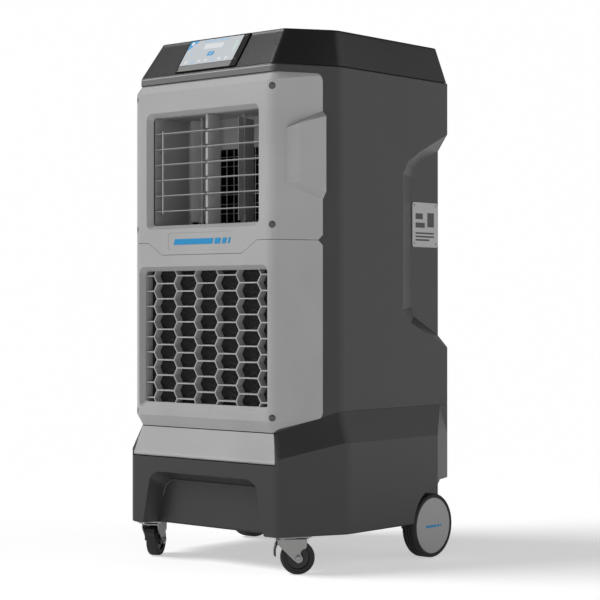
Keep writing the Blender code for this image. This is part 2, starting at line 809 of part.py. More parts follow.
def water_works():
    """Pump, its hose up to the trough, float valve, hose inlet and drain plug."""
    black = black_plastic()
    pump = cylinder("water_pump", (0.170, 0.020, 0.0923), (0.170, 0.020, 0.160), 0.034, black, 20)
    join(pump, cylinder("pump_outlet", (0.170, 0.020, 0.150), (0.170, 0.020, 0.178), 0.009, None, 12))
    route = [Vector(p) for p in (
        (0.170, 0.020, 0.190), (0.172, 0.018, 0.230), (0.188, 0.000, 0.300), (0.212, -0.040, 0.420),
        (0.222, -0.090, 0.560), (0.226, -0.150, 0.660), (0.219, -0.192, 0.698), (0.2055, -0.200, 0.701),
    )]
    route = [Vector((0.170, 0.020, 0.1783)), *smooth_route(route, 4), Vector((0.1965, -0.200, 0.701))]
    tube("pump_hose", route, 0.007, material("clear_hose", (0.25, 0.26, 0.27), 0.3))
    valve = box("float_valve", (-0.145, 0.196, 0.145), (-0.115, 0.2377, 0.175), black)
    cut(valve, box("valve_slot", (-0.1335, 0.190, 0.14), (-0.1265, 0.226, 0.18), None))
    inlet = cylinder(
        "hose_inlet", (-0.130, 0.2383, 0.160), (-0.130, 0.2740, 0.160), 0.0080,
        material("brass", (0.60, 0.42, 0.16), 0.3, 1.0), 16,
    )
    join(
        inlet,
        cylinder("inlet_collar", (-0.130, 0.2463, 0.160), (-0.130, 0.2640, 0.160), 0.0145, None, 12),
    )
    plug = cylinder("drain_plug", (0, 0.2383, 0.140), (0, 0.2560, 0.140), 0.0120, black, 16)
    join(plug, cylinder("plug_head", (0, 0.2463, 0.140), (0, 0.2660, 0.140), 0.0175, None, 8))


FLOAT_PIVOT = (-0.130, 0.202, 0.160)
FLOAT_DROOP = 14.0


def float_arm():
    """Arm and ball of the float valve, hanging at its lowest. Its origin is on the pivot."""
    arm = box("float_arm", (-0.0030, -0.085, -0.0030), (0.0030, 0.006, 0.0030), black_plastic())
    ball = bmesh.new()
    bmesh.ops.create_uvsphere(ball, u_segments=16, v_segments=10, radius=0.024)
    bmesh.ops.translate(ball, verts=ball.verts, vec=(0, -0.100, 0))
    join(arm, finish("float_ball", ball, None))
    arm.location = FLOAT_PIVOT
    arm.rotation_euler = (math.radians(FLOAT_DROOP), 0, 0)
    bpy.data.objects["float_ball"].location = FLOAT_PIVOT
    bpy.data.objects["float_ball"].rotation_euler = arm.rotation_euler


# ---------------------------------------------------------------- outlet side


def louver_blades():
    """Six blades on long pivots, with a notch for the rib and one for the tie bar."""
    half = OUTLET[0] - 0.001
    front, rear = -BLADE_CHORD / 2, BLADE_CHORD / 2
    notch = 0.0055
    tie = (TIE_X - 0.0026, TIE_X + 0.0026, TIE_Y - BLADE_PIVOT_Y + 0.0045)
    left = [
        (-half, front), (tie[0], front), (tie[0], tie[2]), (tie[1], tie[2]), (tie[1], front),
        (-notch, front), (-notch, rear), (-half, rear),
    ]
    right = [(notch, front), (half, front), (half, rear), (notch, rear)]
    for k in range(BLADE_COUNT):
        name = f"louver_blade_{k + 1}"
        shaft = cylinder(name, (-half - 0.0017, 0, 0), (half + 0.0017, 0, 0), 0.0025, light_plastic(), 12)
        join(shaft, extrusion(name + "_left", [left], "Z", -0.0011, 0.0011, None))
        join(shaft, extrusion(name + "_right", [right], "Z", -0.0011, 0.0011, None))
        place = (0, BLADE_PIVOT_Y, BLADE_LOW + k * BLADE_PITCH)
        for piece in (shaft, bpy.data.objects[name + "_left"], bpy.data.objects[name + "_right"]):
            piece.location = place
    low = BLADE_LOW - 0.006
    high = BLADE_LOW + (BLADE_COUNT - 1) * BLADE_PITCH + 0.006
    bar = box(
        "louver_tie_bar", (-0.0015, -0.002, low - BLADE_LOW), (0.0015, 0.002, high - BLADE_LOW),
        light_plastic(),
    )
    bar.location = (TIE_X, TIE_Y, BLADE_LOW)


def louver_rib():
    """Fixed middle rib, slotted at each blade's pivot."""
    _, low, high = OUTLET
    rib = box("louver_rib", (-0.0035, -0.2575, low + GAP), (0.0035, -0.217, high - GAP), light_plastic())
    for k in range(BLADE_COUNT):
        z = BLADE_LOW + k * BLADE_PITCH
        cut(
            rib,
            box(
                f"rib_slot_{k}", (-0.01, -0.27, z - 0.0045), (0.01, BLADE_PIVOT_Y + 0.0045, z + 0.0045),
                None,
            ),
        )


def vanes():
    """Two upright vanes behind the louvers, on round pivots, turned outwards."""
    low, high = 0.785, 1.018
    front, rear = -0.028, 0.050
    outline = [(-0.0012, rear), (-0.0006, front), (0.0006, front), (0.0012, rear)]
    for side, name in ((-1, "vane_left"), (1, "vane_right")):
        place = (side * VANE_X, VANE_Y, 0)
        pivot = cylinder(
            name, (0, 0, OUTLET[1] + GAP), (0, 0, OUTLET[2] - GAP), 0.0032, light_plastic(), 12
        )
        plate = extrusion(name + "_plate", [outline], "Z", low, high, None)
        join(pivot, plate)
        for piece in (pivot, plate):
            piece.location = place
            piece.rotation_euler = (0, 0, math.radians(side * VANE_FLARE))


def outlet_duct():
    """Open box behind the louvers, with the blower's outlet in its back wall, and the wire guard in that."""
    half, low, high = OUTLET
    wall = 0.002
    duct = box(
        "outlet_duct", (-half - 0.0008 - wall, -0.2556, low - wall),
        (half + 0.0008 + wall, DUCT_BACK + wall, high + wall), light_plastic(),
    )
    cut(duct, box("duct_hollow", (-half - 0.0008, -0.30, low), (half + 0.0008, DUCT_BACK, high), None))
    cut(duct, box("duct_outlet", (-0.160, -0.20, 0.783), (0.160, -0.10, 0.962), None))
    outer = fillet(rectangle(0.1597, 0.7833, 0.9617))
    cells = [outer]
    columns, rows = 7, 4
    width, height, wire = 0.315 / columns, 0.174 / rows, 0.0009
    for i in range(columns):
        for j in range(rows):
            x, z = -0.1575 + width * i, 0.7855 + height * j
            cells.append([
                (x + wire, z + wire), (x + width - wire, z + wire),
                (x + width - wire, z + height - wire), (x + wire, z + height - wire),
            ])
    extrusion("outlet_guard", cells, "Y", DUCT_BACK, DUCT_BACK + wall, zinc())


def scroll_outline(grow):
    """The blower housing's section (y, z), its spiral opening towards the front outlet at the top."""
    points = []
    for k in range(19):
        angle = math.radians(180 + 15 * k)
        radius = 0.114 + 0.051 * k / 18 + grow
        points.append((SCROLL_Y + radius * math.cos(angle), SCROLL_Z + radius * math.sin(angle)))
    front = DUCT_BACK + 0.0023 if grow > 0 else DUCT_BACK - 0.01
    return [
        *points, (front, SCROLL_Z + 0.165 + grow), (front, 0.785 - grow),
        (SCROLL_Y - 0.114 - grow, 0.785 - grow),
    ]


def blower():
    """Scroll housing, drum wheel and motor, on one axis along X."""
    black = black_plastic()
    housing = extrusion("blower_housing", [scroll_outline(0.002)], "X", -SCROLL_HALF, SCROLL_HALF, black)
    cut(
        housing,
        extrusion(
            "scroll_hollow", [scroll_outline(0.0)], "X", -SCROLL_HALF + 0.002, SCROLL_HALF - 0.002, None
        ),
    )
    axis = (SCROLL_Y, SCROLL_Z)
    cut(housing, cylinder("inlet_holes", (-0.2, *axis), (0.2, *axis), 0.084, None, 32))
    blower_wheel(black, axis)
    motor = cylinder(
        "blower_motor", (0.1610, *axis), (0.2470, *axis), 0.046,
        material("motor_steel", (0.3, 0.3, 0.31), 0.4, 0.8), 24,
    )
    join(
        motor,
        box(
            "motor_strap", (0.1554, SCROLL_Y - 0.110, SCROLL_Z - 0.012),
            (0.1620, SCROLL_Y + 0.110, SCROLL_Z + 0.012), None,
        ),
    )
    cut(motor, cylinder("motor_bore", (0.150, *axis), (0.200, *axis), 0.0065, None, 12))


def blower_wheel(mat, axis):
    """Drum of straight blades between two rings, on a disc and shaft. Its origin is on the axis."""
    reach = 0.140
    wheel = cylinder("blower_wheel", (-0.002, 0, 0), (0.002, 0, 0), 0.100, mat, 32)
    join(wheel, cylinder("wheel_shaft", (-0.150, 0, 0), (0.195, 0, 0), 0.005, None, 12))
    for side in (-1, 1):
        ring = cylinder(
            f"wheel_ring_{side}", (side * reach, 0, 0), (side * (reach - 0.006), 0, 0), 0.100, None, 32
        )
        hole = cylinder(
            f"wheel_ring_hole_{side}", (side * 0.16, 0, 0), (side * 0.12, 0, 0), 0.084, None, 32
        )
        cut(ring, hole)
        join(wheel, ring)
    blades = bmesh.new()
    count = 20
    for k in range(count):
        made = bmesh.ops.create_cube(blades, size=1)["verts"]
        turn = Matrix.Rotation(
            math.tau * k / count, 4, "X"
        ) @ Matrix.Translation((0, 0, 0.092)) @ Matrix.Rotation(0.6, 4, "X")
        shape = Matrix.Diagonal((2 * reach - 0.004, 0.0016, 0.0125, 1))
        bmesh.ops.transform(blades, matrix=turn @ shape, verts=made)
    join(wheel, finish("wheel_blades", blades, None))
    everything = [wheel] + [m.object for m in wheel.modifiers]
    everything += [bpy.data.objects[f"wheel_ring_hole_{side}"] for side in (-1, 1)]
    for piece in everything:
        piece.location = (0, *axis)


def electrics():
    loft("control_board", [
        [
            on_cap_slope(x, s, raised)
            for x, s in ((-0.070, 0.018), (0.070, 0.018), (0.070, 0.078), (-0.070, 0.078))
        ]
        for raised in (-0.016, -0.006)
    ], material("circuit_board", (0.02, 0.12, 0.05), 0.5))
    gland = cylinder(
        "cord_gland", (0.130, 0.2463, 0.160), (0.130, 0.2700, 0.160), 0.0100, black_plastic(), 16, 0.007
    )
    join(gland, cylinder("gland_nut", (0.130, 0.2463, 0.160), (0.130, 0.2560, 0.160), 0.0135, None, 6))


def rating_plate():
    front_y, rear_y, low, high, radius = 0.174, 0.2735, 0.731, 0.837, 0.006
    corners = ((front_y, low), (rear_y, low), (rear_y, high), (front_y, high))
    outline = fillet([(y, z, radius) for y, z in corners])
    aluminium = material("aluminium_plate", (0.60, 0.61, 0.62), 0.35, 0.9)
    extrusion("rating_plate", [outline], "X", 0.2553, 0.2563, aluminium)


# ---------------------------------------------------------------- wheels


def rear_wheels():
    """Two grooved wheels on one axle under the tank, with flush caps."""
    axis = (WHEEL_Y, WHEEL_RADIUS)
    cylinder("rear_axle", (-0.292, *axis), (0.292, *axis), 0.0060, zinc(), 16)
    outer, width = WHEEL_RADIUS, WHEEL_OUT - WHEEL_IN
    profile = [
        (0.0065, 0.012), (0.0065, 0.030), (0.022, 0.030), (0.022, 0.0355), (0.066, 0.0355), (0.066, width),
        (outer - 0.005, width), (outer, width - 0.006), (outer, 0.006), (outer - 0.005, 0.0),
        (0.062, 0.0), (0.060, 0.010), (0.022, 0.012),
    ]
    for side, name in ((-1, "left"), (1, "right")):
        wheel = turned(f"rear_wheel_{name}", profile, rubber(), 36)
        axis_along_x(wheel, (side * WHEEL_IN, *axis), side)
        cap = [(0.0, 0.0358), (0.0, 0.0377), (0.045, 0.0374), (0.0640, 0.0364), (0.0655, 0.0358)]
        cap = turned(f"hub_cap_{name}", cap[::-1][-1:] + cap[1:], light_plastic(), 36)
        axis_along_x(cap, (side * WHEEL_IN, *axis), side)


def caster(side, name):
    """Swivel caster: fixed plate, and a fork with wheel, axle and brake pedal that turns under it."""
    yaw = math.radians(CASTER_YAW[name])
    axle = Vector((side * CASTER_AXLE[0], CASTER_AXLE[1], CASTER_RADIUS))
    rolling = Vector((-math.sin(yaw), math.cos(yaw), 0))
    kingpin = axle - rolling * CASTER_TRAIL
    plate = box(f"caster_plate_{name}", (-0.031, -0.038, 0.0825), (0.031, 0.038, 0.0857), zinc())
    plate.location = (kingpin.x, kingpin.y, 0)
    plate.rotation_euler = (0, 0, -side * math.atan2(BASE_B[0] - BASE_A[0], BASE_B[1] - BASE_A[1]))
    race = cylinder(
        f"caster_race_{name}", (kingpin.x, kingpin.y, 0.0790), (kingpin.x, kingpin.y, 0.0830), 0.014,
        None, 20,
    )
    join(plate, race)

    def place(obj, rise=0.0):
        obj.location = kingpin + Vector((0, 0, rise - kingpin.z))
        obj.rotation_euler = (0, 0, yaw)
        return obj

    leg = fillet([
        (-0.032, 0.0785, 0.004), (-0.032, 0.068, 0.006), (CASTER_TRAIL - 0.010, 0.0335, 0.007),
        (CASTER_TRAIL, 0.0250, 0.007), (CASTER_TRAIL + 0.011, 0.0335, 0.008), (0.014, 0.058, 0.010),
        (0.034, 0.066, 0.004), (0.034, 0.0785, 0.004),
    ], 2)
    fork = box(f"caster_fork_{name}", (-0.0205, -0.033, 0.0762), (0.0205, 0.034, 0.0787), zinc())
    for hand in (-1, 1):
        low, high = sorted((hand * 0.0185, hand * 0.0205))
        join(fork, place(extrusion(f"fork_leg_{name}_{hand}", [leg], "X", low, high, None)))
    cut(
        fork,
        place(
            cylinder(
                f"fork_bore_{name}", (-0.03, CASTER_TRAIL, CASTER_RADIUS),
                (0.03, CASTER_TRAIL, CASTER_RADIUS), 0.0044, None, 12,
            )
        ),
    )
    place(fork)
    wheel_profile = [
        (0.0044, 0.0140), (0.014, 0.0140), (0.018, 0.0115), (0.027, 0.0115), (0.029, 0.0140), (
            CASTER_RADIUS - 0.003, 0.0140
        ),
        (CASTER_RADIUS, 0.0110), (CASTER_RADIUS, -0.0110), (CASTER_RADIUS - 0.003, -0.0140),
        (0.029, -0.0140), (0.027, -0.0115), (0.018, -0.0115), (0.014, -0.0140), (0.0044, -0.0140),
    ]
    wheel = turned(f"caster_wheel_{name}", wheel_profile, rubber(), 32)
    wheel.location = axle
    wheel.rotation_euler = (0, math.radians(90), yaw)
    place(
        cylinder(
            f"caster_axle_{name}", (-0.0225, CASTER_TRAIL, CASTER_RADIUS),
            (0.0225, CASTER_TRAIL, CASTER_RADIUS), 0.0040, zinc(), 12,
        )
    )
    pedal_outline = [
        (-0.030, 0.0700), (-0.036, 0.0640), (-0.0445, 0.0530), (-0.0415, 0.0510), (-0.0330, 0.0600),
        (-0.026, 0.0660),
    ]
    place(extrusion(f"caster_brake_{name}", [pedal_outline], "X", -0.0180, 0.0180, black_plastic()))


def build():
    clear_scene()
    tank_base()
    fill_door()
    main_housing()
    rear_panel()
    top_cap()
    display()
    covers = {"upper": upper_bezel(), "lower": lower_bezel()}
    bezel_screws(covers)
    honeycomb_grille()
    cooling_system()
    water_works()
    float_arm()
    louver_blades()
    louver_rib()
    vanes()
    outlet_duct()
    blower()
    electrics()
    rating_plate()
    rear_wheels()
    caster(-1, "left")
    caster(1, "right")


build()
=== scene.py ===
"""Looks for the portable evaporative cooler. Metres, +Z up, the air outlet towards -Y."""

import math

import bmesh
import bpy
from mathutils import Matrix, Vector


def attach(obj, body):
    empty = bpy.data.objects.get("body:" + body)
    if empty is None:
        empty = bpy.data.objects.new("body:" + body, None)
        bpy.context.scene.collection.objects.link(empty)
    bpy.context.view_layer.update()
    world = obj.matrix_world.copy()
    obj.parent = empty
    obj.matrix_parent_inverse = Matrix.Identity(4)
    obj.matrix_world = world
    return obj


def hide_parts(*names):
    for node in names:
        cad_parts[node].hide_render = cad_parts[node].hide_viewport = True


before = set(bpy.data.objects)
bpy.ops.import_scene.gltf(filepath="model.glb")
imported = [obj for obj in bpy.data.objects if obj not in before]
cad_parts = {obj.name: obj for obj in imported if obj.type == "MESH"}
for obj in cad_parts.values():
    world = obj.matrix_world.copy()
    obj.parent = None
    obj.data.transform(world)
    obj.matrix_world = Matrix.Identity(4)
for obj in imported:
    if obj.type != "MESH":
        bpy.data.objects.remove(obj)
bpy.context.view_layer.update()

HEIGHT = 1.208
FRONT_Y, BODY_FRONT_Y, REAR_Y = -0.276, -0.260, 0.276
BODY_HALF, BASE_HALF = 0.283, 0.307
CORNER_RADIUS, SIDE_RADIUS = 0.020, 0.050
BASE_BOTTOM, BODY_TOP = 0.086, 1.124
BAND_LOW, BAND_TOP = (0.243, 0.288), (0.313, 0.357)
BODY_A, BODY_B = (0.209, BODY_FRONT_Y), (BODY_HALF, -0.120)
BASE_A, BASE_B = (0.2295, -0.275), (BASE_HALF, -0.124)
GAP = 0.0003
WALL = 0.004
FACE_HALF, COVER_END, BEND_RADIUS = 0.217, (0.2647, -0.1624), 0.033
COVER_TOP, COVER_BOTTOM = 1.105, 0.3135
SEAM_SIDE, SEAM_MIDDLE = 0.737, 0.7085
OUTLET, OUTLET_RIM = (0.168, 0.777, 1.028), (0.177, 0.768, 1.037)
INTAKE, INTAKE_RIM = (0.1935, 0.369, 0.672), (0.202, 0.355, 0.682)
BLADE_COUNT, BLADE_PITCH, BLADE_LOW, BLADE_Y, BLADE_CHORD = 6, 0.036, 0.811, -0.248, 0.021
TIE_X, TIE_Y = -0.1435, -0.2545
VANE_X, VANE_Y, VANE_FLARE = 0.066, -0.2045, 16.0
DUCT_BACK = -0.143
WHEEL_RADIUS, WHEEL_Y, WHEEL_IN, WHEEL_OUT = 0.075, 0.200, 0.261, 0.299
CASTER_RADIUS, CASTER_TRAIL, CASTER_AXLE = 0.0375, 0.014, (0.223, -0.200)
CASTER_YAW = {"left": 28.0, "right": -42.0}
SIDES = ((-1, "left"), (1, "right"))


# ---------------------------------------------------------------- materials


def ramp(tree, value, low, high, to_low=0.0, to_high=1.0, smooth=False):
    """The value carried from one range onto another."""
    node = tree.nodes.new("ShaderNodeMapRange")
    for name, number in (("From Min", low), ("From Max", high), ("To Min", to_low), ("To Max", to_high)):
        node.inputs[name].default_value = number
    if smooth:
        node.interpolation_type = "SMOOTHSTEP"
    tree.links.new(value, node.inputs["Value"])
    return node.outputs["Result"]


def blend(tree, factor, first, second):
    """A mix of two colours, each given as a tuple or as another node's output."""
    node = tree.nodes.new("ShaderNodeMix")
    node.data_type = "RGBA"
    tree.links.new(factor, node.inputs["Factor"])
    for name, colour in (("A", first), ("B", second)):
        if isinstance(colour, tuple):
            node.inputs[name].default_value = (*colour, 1)
        else:
            tree.links.new(colour, node.inputs[name])
    return node.outputs["Result"]


def finish_material(
    name, colour, roughness,
    metallic=0.0, grain=1100.0, bump=0.12, blotch=0.05, spread=0.06, coat=0.0, gloss=0.5,
):
    """A procedural finish: fine grain in the bump, slow drift in colour and a finer drift in roughness."""
    made = bpy.data.materials.new(name)
    made.use_nodes = True
    tree = made.node_tree
    nodes, links = tree.nodes, tree.links
    shader = nodes["Principled BSDF"]
    shader.inputs["Metallic"].default_value = metallic
    shader.inputs["Coat Weight"].default_value = coat
    shader.inputs["Specular IOR Level"].default_value = gloss
    shader.inputs["Coat Roughness"].default_value = 0.15
    place = nodes.new("ShaderNodeTexCoord").outputs["Object"]

    def noise(scale, detail):
        node = nodes.new("ShaderNodeTexNoise")
        node.inputs["Scale"].default_value = scale
        node.inputs["Detail"].default_value = detail
        links.new(place, node.inputs["Vector"])
        return node.outputs["Fac"]

    darker, lighter = (tuple(min(1, c * (1 + change)) for c in colour) for change in (-blotch, blotch))
    drift = ramp(tree, noise(6.0, 3.0), 0.3, 0.7)
    links.new(blend(tree, drift, darker, lighter), shader.inputs["Base Color"])
    rough = ramp(tree, noise(140.0, 4.0), 0.0, 1.0, roughness - spread, roughness + spread)
    links.new(rough, shader.inputs["Roughness"])
    texture = nodes.new("ShaderNodeBump")
    texture.inputs["Strength"].default_value = bump
    texture.inputs["Distance"].default_value = 0.0004
    links.new(noise(grain, 2.0), texture.inputs["Height"])
    links.new(texture.outputs["Normal"], shader.inputs["Normal"])
    return made


def neutral(level, warm=0.0):
    """Linear colour of a display grey from 0 to 255, a little warmer where asked."""
    v = level / 255
    v = v / 12.92 if v < 0.04045 else ((v + 0.055) / 1.055) ** 2.4
    return (v * (1 + warm), v, v * (1 - warm))


LIGHT = finish_material("light_moulding", neutral(162), 0.46)
DARK = finish_material("dark_moulding", neutral(44), 0.40)
# The cap's grey is darker than the body's. It is a glossier plastic, and the darker grey is also painted
# shade for the cap's dark sloped faces.
CAP_SHADED = finish_material("cap_moulding_painted_shade", neutral(34), 0.30)
# Lighter grey for the toe recess's edge bead: a painted highlight.
BEAD_HIGHLIGHT = finish_material("recess_edge_painted_highlight", neutral(78), 0.34)
BLACK = finish_material("black_moulding", neutral(18), 0.35, bump=0.06)
PANEL_BLACK = finish_material("panel_black", neutral(8), 0.5, bump=0.03, gloss=0.12)
SCREW = finish_material("screw_grey", neutral(86), 0.35, bump=0.06)
LEDGE = finish_material("ledge_moulding", neutral(104), 0.42)
# Lighter grey for the ledge's lip: a painted highlight along the edge that catches the light.
LIP_HIGHLIGHT = finish_material("ledge_lip_painted_highlight", neutral(176), 0.38)
DEEP = finish_material("inner_black", neutral(10), 0.8, bump=0.3)
TYRE = finish_material("tyre_rubber", neutral(26), 0.68, grain=500.0, bump=0.3)
ZINC = finish_material(
    "zinc_plate", neutral(150, 0.01), 0.40, metallic=0.8, grain=300.0, bump=0.05, spread=0.1
)
ALUMINIUM = finish_material("brushed_aluminium", neutral(168), 0.42, metallic=0.3, grain=700.0, bump=0.1)
BRASS = finish_material("turned_brass", (0.55, 0.36, 0.12), 0.3, metallic=1.0, grain=300.0)
PAD = finish_material("wet_media", (0.004, 0.0035, 0.003), 0.7, grain=300.0, bump=0.8, blotch=0.3)
HOSE = finish_material("cloudy_hose", neutral(130), 0.3, coat=0.3)
BOARD = finish_material("circuit_board", (0.01, 0.09, 0.03), 0.4, blotch=0.2)
MOTOR = finish_material("motor_paint", neutral(110), 0.4, metallic=0.3)
MARK = finish_material("blue_print", (0.004, 0.235, 0.50), 0.35, bump=0.03, blotch=0.02)
GLASS = finish_material(
    "display_face", (0.62, 0.66, 0.69), 0.16, grain=200.0, bump=0.01, blotch=0.02, spread=0.02, coat=0.5
)
MARGIN = finish_material("display_margin", neutral(112), 0.4)
UI_BLUE = finish_material("display_blue", (0.07, 0.36, 0.70), 0.25, bump=0.01)
UI_PALE = finish_material("display_pale", (0.42, 0.60, 0.80), 0.25, bump=0.01)
UI_WHITE = finish_material("display_white", (0.76, 0.78, 0.80), 0.25, bump=0.01)
UI_GREEN = finish_material("display_green", (0.58, 0.76, 0.66), 0.25, bump=0.01)
PRINT = finish_material("plate_print", neutral(60), 0.5, bump=0.03)


# ---------------------------------------------------------------- mesh helpers


def put(name, bm, mat=None):
    """The bmesh as a new object with its faces outwards."""
    bmesh.ops.recalc_face_normals(bm, faces=bm.faces)
    mesh = bpy.data.meshes.new(name)
    bm.to_mesh(mesh)
    bm.free()
    obj = bpy.data.objects.new(name, mesh)
    bpy.context.scene.collection.objects.link(obj)
    if mat:
        mesh.materials.append(mat)
    return obj


def bake(obj):
    """Turns the object's modifiers into its mesh."""
    graph = bpy.context.evaluated_depsgraph_get()
    mesh = bpy.data.meshes.new_from_object(obj.evaluated_get(graph))
    obj.modifiers.clear()
    obj.data = mesh
    return obj


def combine(obj, operation, others):
    for other in others:
        modifier = obj.modifiers.new("combine", "BOOLEAN")
        modifier.operation = operation
        modifier.object = other
        modifier.solver = "EXACT"
    bake(obj)
    for other in others:
        bpy.data.objects.remove(other)
    return obj


def cut(obj, *others):
    return combine(obj, "DIFFERENCE", others)


def join(obj, *others):
    return combine(obj, "UNION", others)


def shade(obj, degrees=14.0):
    obj.data.shade_smooth()
    obj.data.set_sharp_from_angle(angle=math.radians(degrees))
    return obj


def soften(obj, width, segments=3, limit=26.0, sharp=14.0):
    """Rounds the sharper edges and keeps the broad faces flat in the shading."""
    shade(obj, sharp)
    bevel = obj.modifiers.new("round", "BEVEL")
    bevel.width = width
    bevel.segments = segments
    bevel.limit_method = "ANGLE"
    bevel.angle_limit = math.radians(limit)
    normals = obj.modifiers.new("flats", "WEIGHTED_NORMAL")
    normals.keep_sharp = True
    return obj


def show(obj, body, nodes):
    """Lets the piece ride on a body, in place of the CAD nodes named, if any."""
    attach(obj, body)
    if nodes:
        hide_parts(*([nodes] if isinstance(nodes, str) else nodes))


def fillet(corners, segments=8):
    """The outline's corners (u, v, radius) as points, each rounded one as an arc."""
    points = []
    for i, (u, v, radius) in enumerate(corners):
        here = Vector((u, v))
        if not radius:
            points.append((u, v))
            continue
        back = (Vector(corners[i - 1][:2]) - here).normalized()
        ahead = (Vector(corners[(i + 1) % len(corners)][:2]) - here).normalized()
        half = back.angle(ahead) / 2
        centre = here + (back + ahead).normalized() * radius / math.sin(half)
        first = here + back * radius / math.tan(half) - centre
        last = here + ahead * radius / math.tan(half) - centre
        start = math.atan2(first.y, first.x)
        sweep = (math.atan2(last.y, last.x) - start + math.pi) % math.tau - math.pi
        for k in range(segments + 1):
            angle = start + sweep * k / segments
            points.append((centre.x + radius * math.cos(angle), centre.y + radius * math.sin(angle)))
    return points


def mirrored(half):
    return half + [(-corner[0], *corner[1:]) for corner in reversed(half)]


def rectangle(half, low, high, radius=0.0):
    return [(half, low, radius), (half, high, radius), (-half, high, radius), (-half, low, radius)]


def rounded(left, right, low, high, radius=0.0015, segments=4):
    """Outline of a rectangle with rounded corners."""
    corners = ((left, low), (right, low), (right, high), (left, high))
    return fillet([(u, v, radius) for u, v in corners], segments)


def bridge(bm, low, high):
    """Faces between two rings of equally many vertices."""
    for i in range(len(low)):
        j = (i + 1) % len(low)
        bm.faces.new((low[i], low[j], high[j], high[i]))


def slanted(start, end, low, high, slant=0.0):
    """Outline of a bar whose top is moved along by the slant."""
    return [(start, low), (end, low), (end + slant, high), (start + slant, high)]


def loft(name, rings, mat=None, closed=False):
    """Skins rings of equally many points. It joins the last to the first if closed, or else caps the ends."""
    bm = bmesh.new()
    rows = [[bm.verts.new(point) for point in ring] for ring in rings]
    for low, high in zip(rows, rows[1:]):
        bridge(bm, low, high)
    if closed:
        bridge(bm, rows[-1], rows[0])
    else:
        bm.faces.new(rows[0])
        bm.faces.new(rows[-1])
    bmesh.ops.recalc_face_normals(bm, faces=bm.faces)
    bent = [f for f in bm.faces if len(f.verts) == 4 and bent_by(f) > 1e-7]
    bmesh.ops.triangulate(bm, faces=bent)
    return put(name, bm, mat)


def bent_by(face):
    first = face.verts[0].co
    return max(abs((vert.co - first).dot(face.normal)) for vert in face.verts)


def extrusion(name, loops, axis, low, high, mat=None):
    """Loops extruded along an axis, the outside first and then holes. u, v are the other two axes."""
    curve = bpy.data.curves.new(name, "CURVE")
    curve.dimensions = "2D"
    curve.fill_mode = "BOTH"
    curve.extrude = (high - low) / 2
    for loop in loops:
        spline = curve.splines.new("POLY")
        spline.points.add(len(loop) - 1)
        for point, (u, v) in zip(spline.points, loop):
            point.co = (u, v, 0, 1)
        spline.use_cyclic_u = True
    holder = bpy.data.objects.new(name, curve)
    bpy.context.scene.collection.objects.link(holder)
    mesh = bpy.data.meshes.new_from_object(holder.evaluated_get(bpy.context.evaluated_depsgraph_get()))
    bpy.data.objects.remove(holder)
    turn = {
        "X": Matrix(((0, 0, 1), (1, 0, 0), (0, 1, 0))),
        "Y": Matrix(((1, 0, 0), (0, 0, -1), (0, 1, 0))),
        "Z": Matrix.Identity(3),
    }[axis].to_4x4()
    middle = [(low + high) / 2 if axis == letter else 0 for letter in "XYZ"]
    mesh.transform(Matrix.Translation(middle) @ turn)
    bm = bmesh.new()
    bm.from_mesh(mesh)
    bmesh.ops.remove_doubles(bm, verts=bm.verts, dist=1e-6)
    bmesh.ops.dissolve_limit(bm, angle_limit=0.01, verts=bm.verts, edges=bm.edges)
    return put(name, bm, mat)


def box(name, low, high, mat=None):
    bm = bmesh.new()
    bmesh.ops.create_cube(bm, size=1)
    low, high = Vector(low), Vector(high)
    for vert in bm.verts:
        vert.co = [(low[k] + high[k]) / 2 + vert.co[k] * (high[k] - low[k]) for k in range(3)]
    return put(name, bm, mat)


def add_rod(bm, start, end, radius, sides):
    """A closed cylinder between two points, added to the bmesh."""
    start, end = Vector(start), Vector(end)
    made = bmesh.ops.create_cone(
        bm, cap_ends=True, segments=sides, depth=(end - start).length, radius1=radius, radius2=radius
    )["verts"]
    turn = (end - start).to_track_quat("Z", "Y").to_matrix().to_4x4()
    bmesh.ops.transform(bm, matrix=Matrix.Translation((start + end) / 2) @ turn, verts=made)


def rod(name, start, end, radius, sides=24):
    bm = bmesh.new()
    add_rod(bm, start, end, radius, sides)
    return shade(put(name, bm), 30)


def lathe(name, profile, centre, axis, mat=None, steps=64, sharp=28.0):
    """A closed profile of (radius, distance along the axis) turned about the axis."""
    centre, axis = Vector(centre), Vector(axis).normalized()
    u = axis.orthogonal().normalized()
    v = axis.cross(u)
    rings = []
    for k in range(steps):
        angle = math.tau * k / steps
        out = u * math.cos(angle) + v * math.sin(angle)
        rings.append([centre + out * radius + axis * along for radius, along in profile])
    bm = bmesh.new()
    rows = [[bm.verts.new(point) for point in ring] for ring in rings]
    for here, ahead in zip(rows, rows[1:] + rows[:1]):
        bridge(bm, here, ahead)
    bmesh.ops.remove_doubles(bm, verts=bm.verts, dist=1e-7)
    return shade(put(name, bm, mat), sharp)


def arc(centre, radius, start, end, steps):
    """Points on an arc, in degrees."""
    return [
        (centre[0] + radius * math.cos(math.radians(a)), centre[1] + radius * math.sin(math.radians(a)))
        for a in (start + (end - start) * k / steps for k in range(steps + 1))
    ]


# ---------------------------------------------------------------- outlines shared by the shells


def slope_height(x, levels):
    along = (abs(x) - BODY_A[0]) / (BODY_B[0] - BODY_A[0])
    return levels[0] + (levels[1] - levels[0]) * min(max(along, 0), 1)


def front_corners(a, b, inset=0.0):
    """The rounded front and side corners of a plan, moved inwards."""
    return [
        (a[0] - inset * 0.65, a[1] + inset, CORNER_RADIUS),
        (b[0] - inset, b[1] + inset * 0.25, SIDE_RADIUS),
    ]


def closed_plan(front, *rear):
    """A plan from its front corners and its (x, y) points behind them, with the same on the other side."""
    return fillet(mirrored(front + [(x, y, 0) for x, y in rear]))


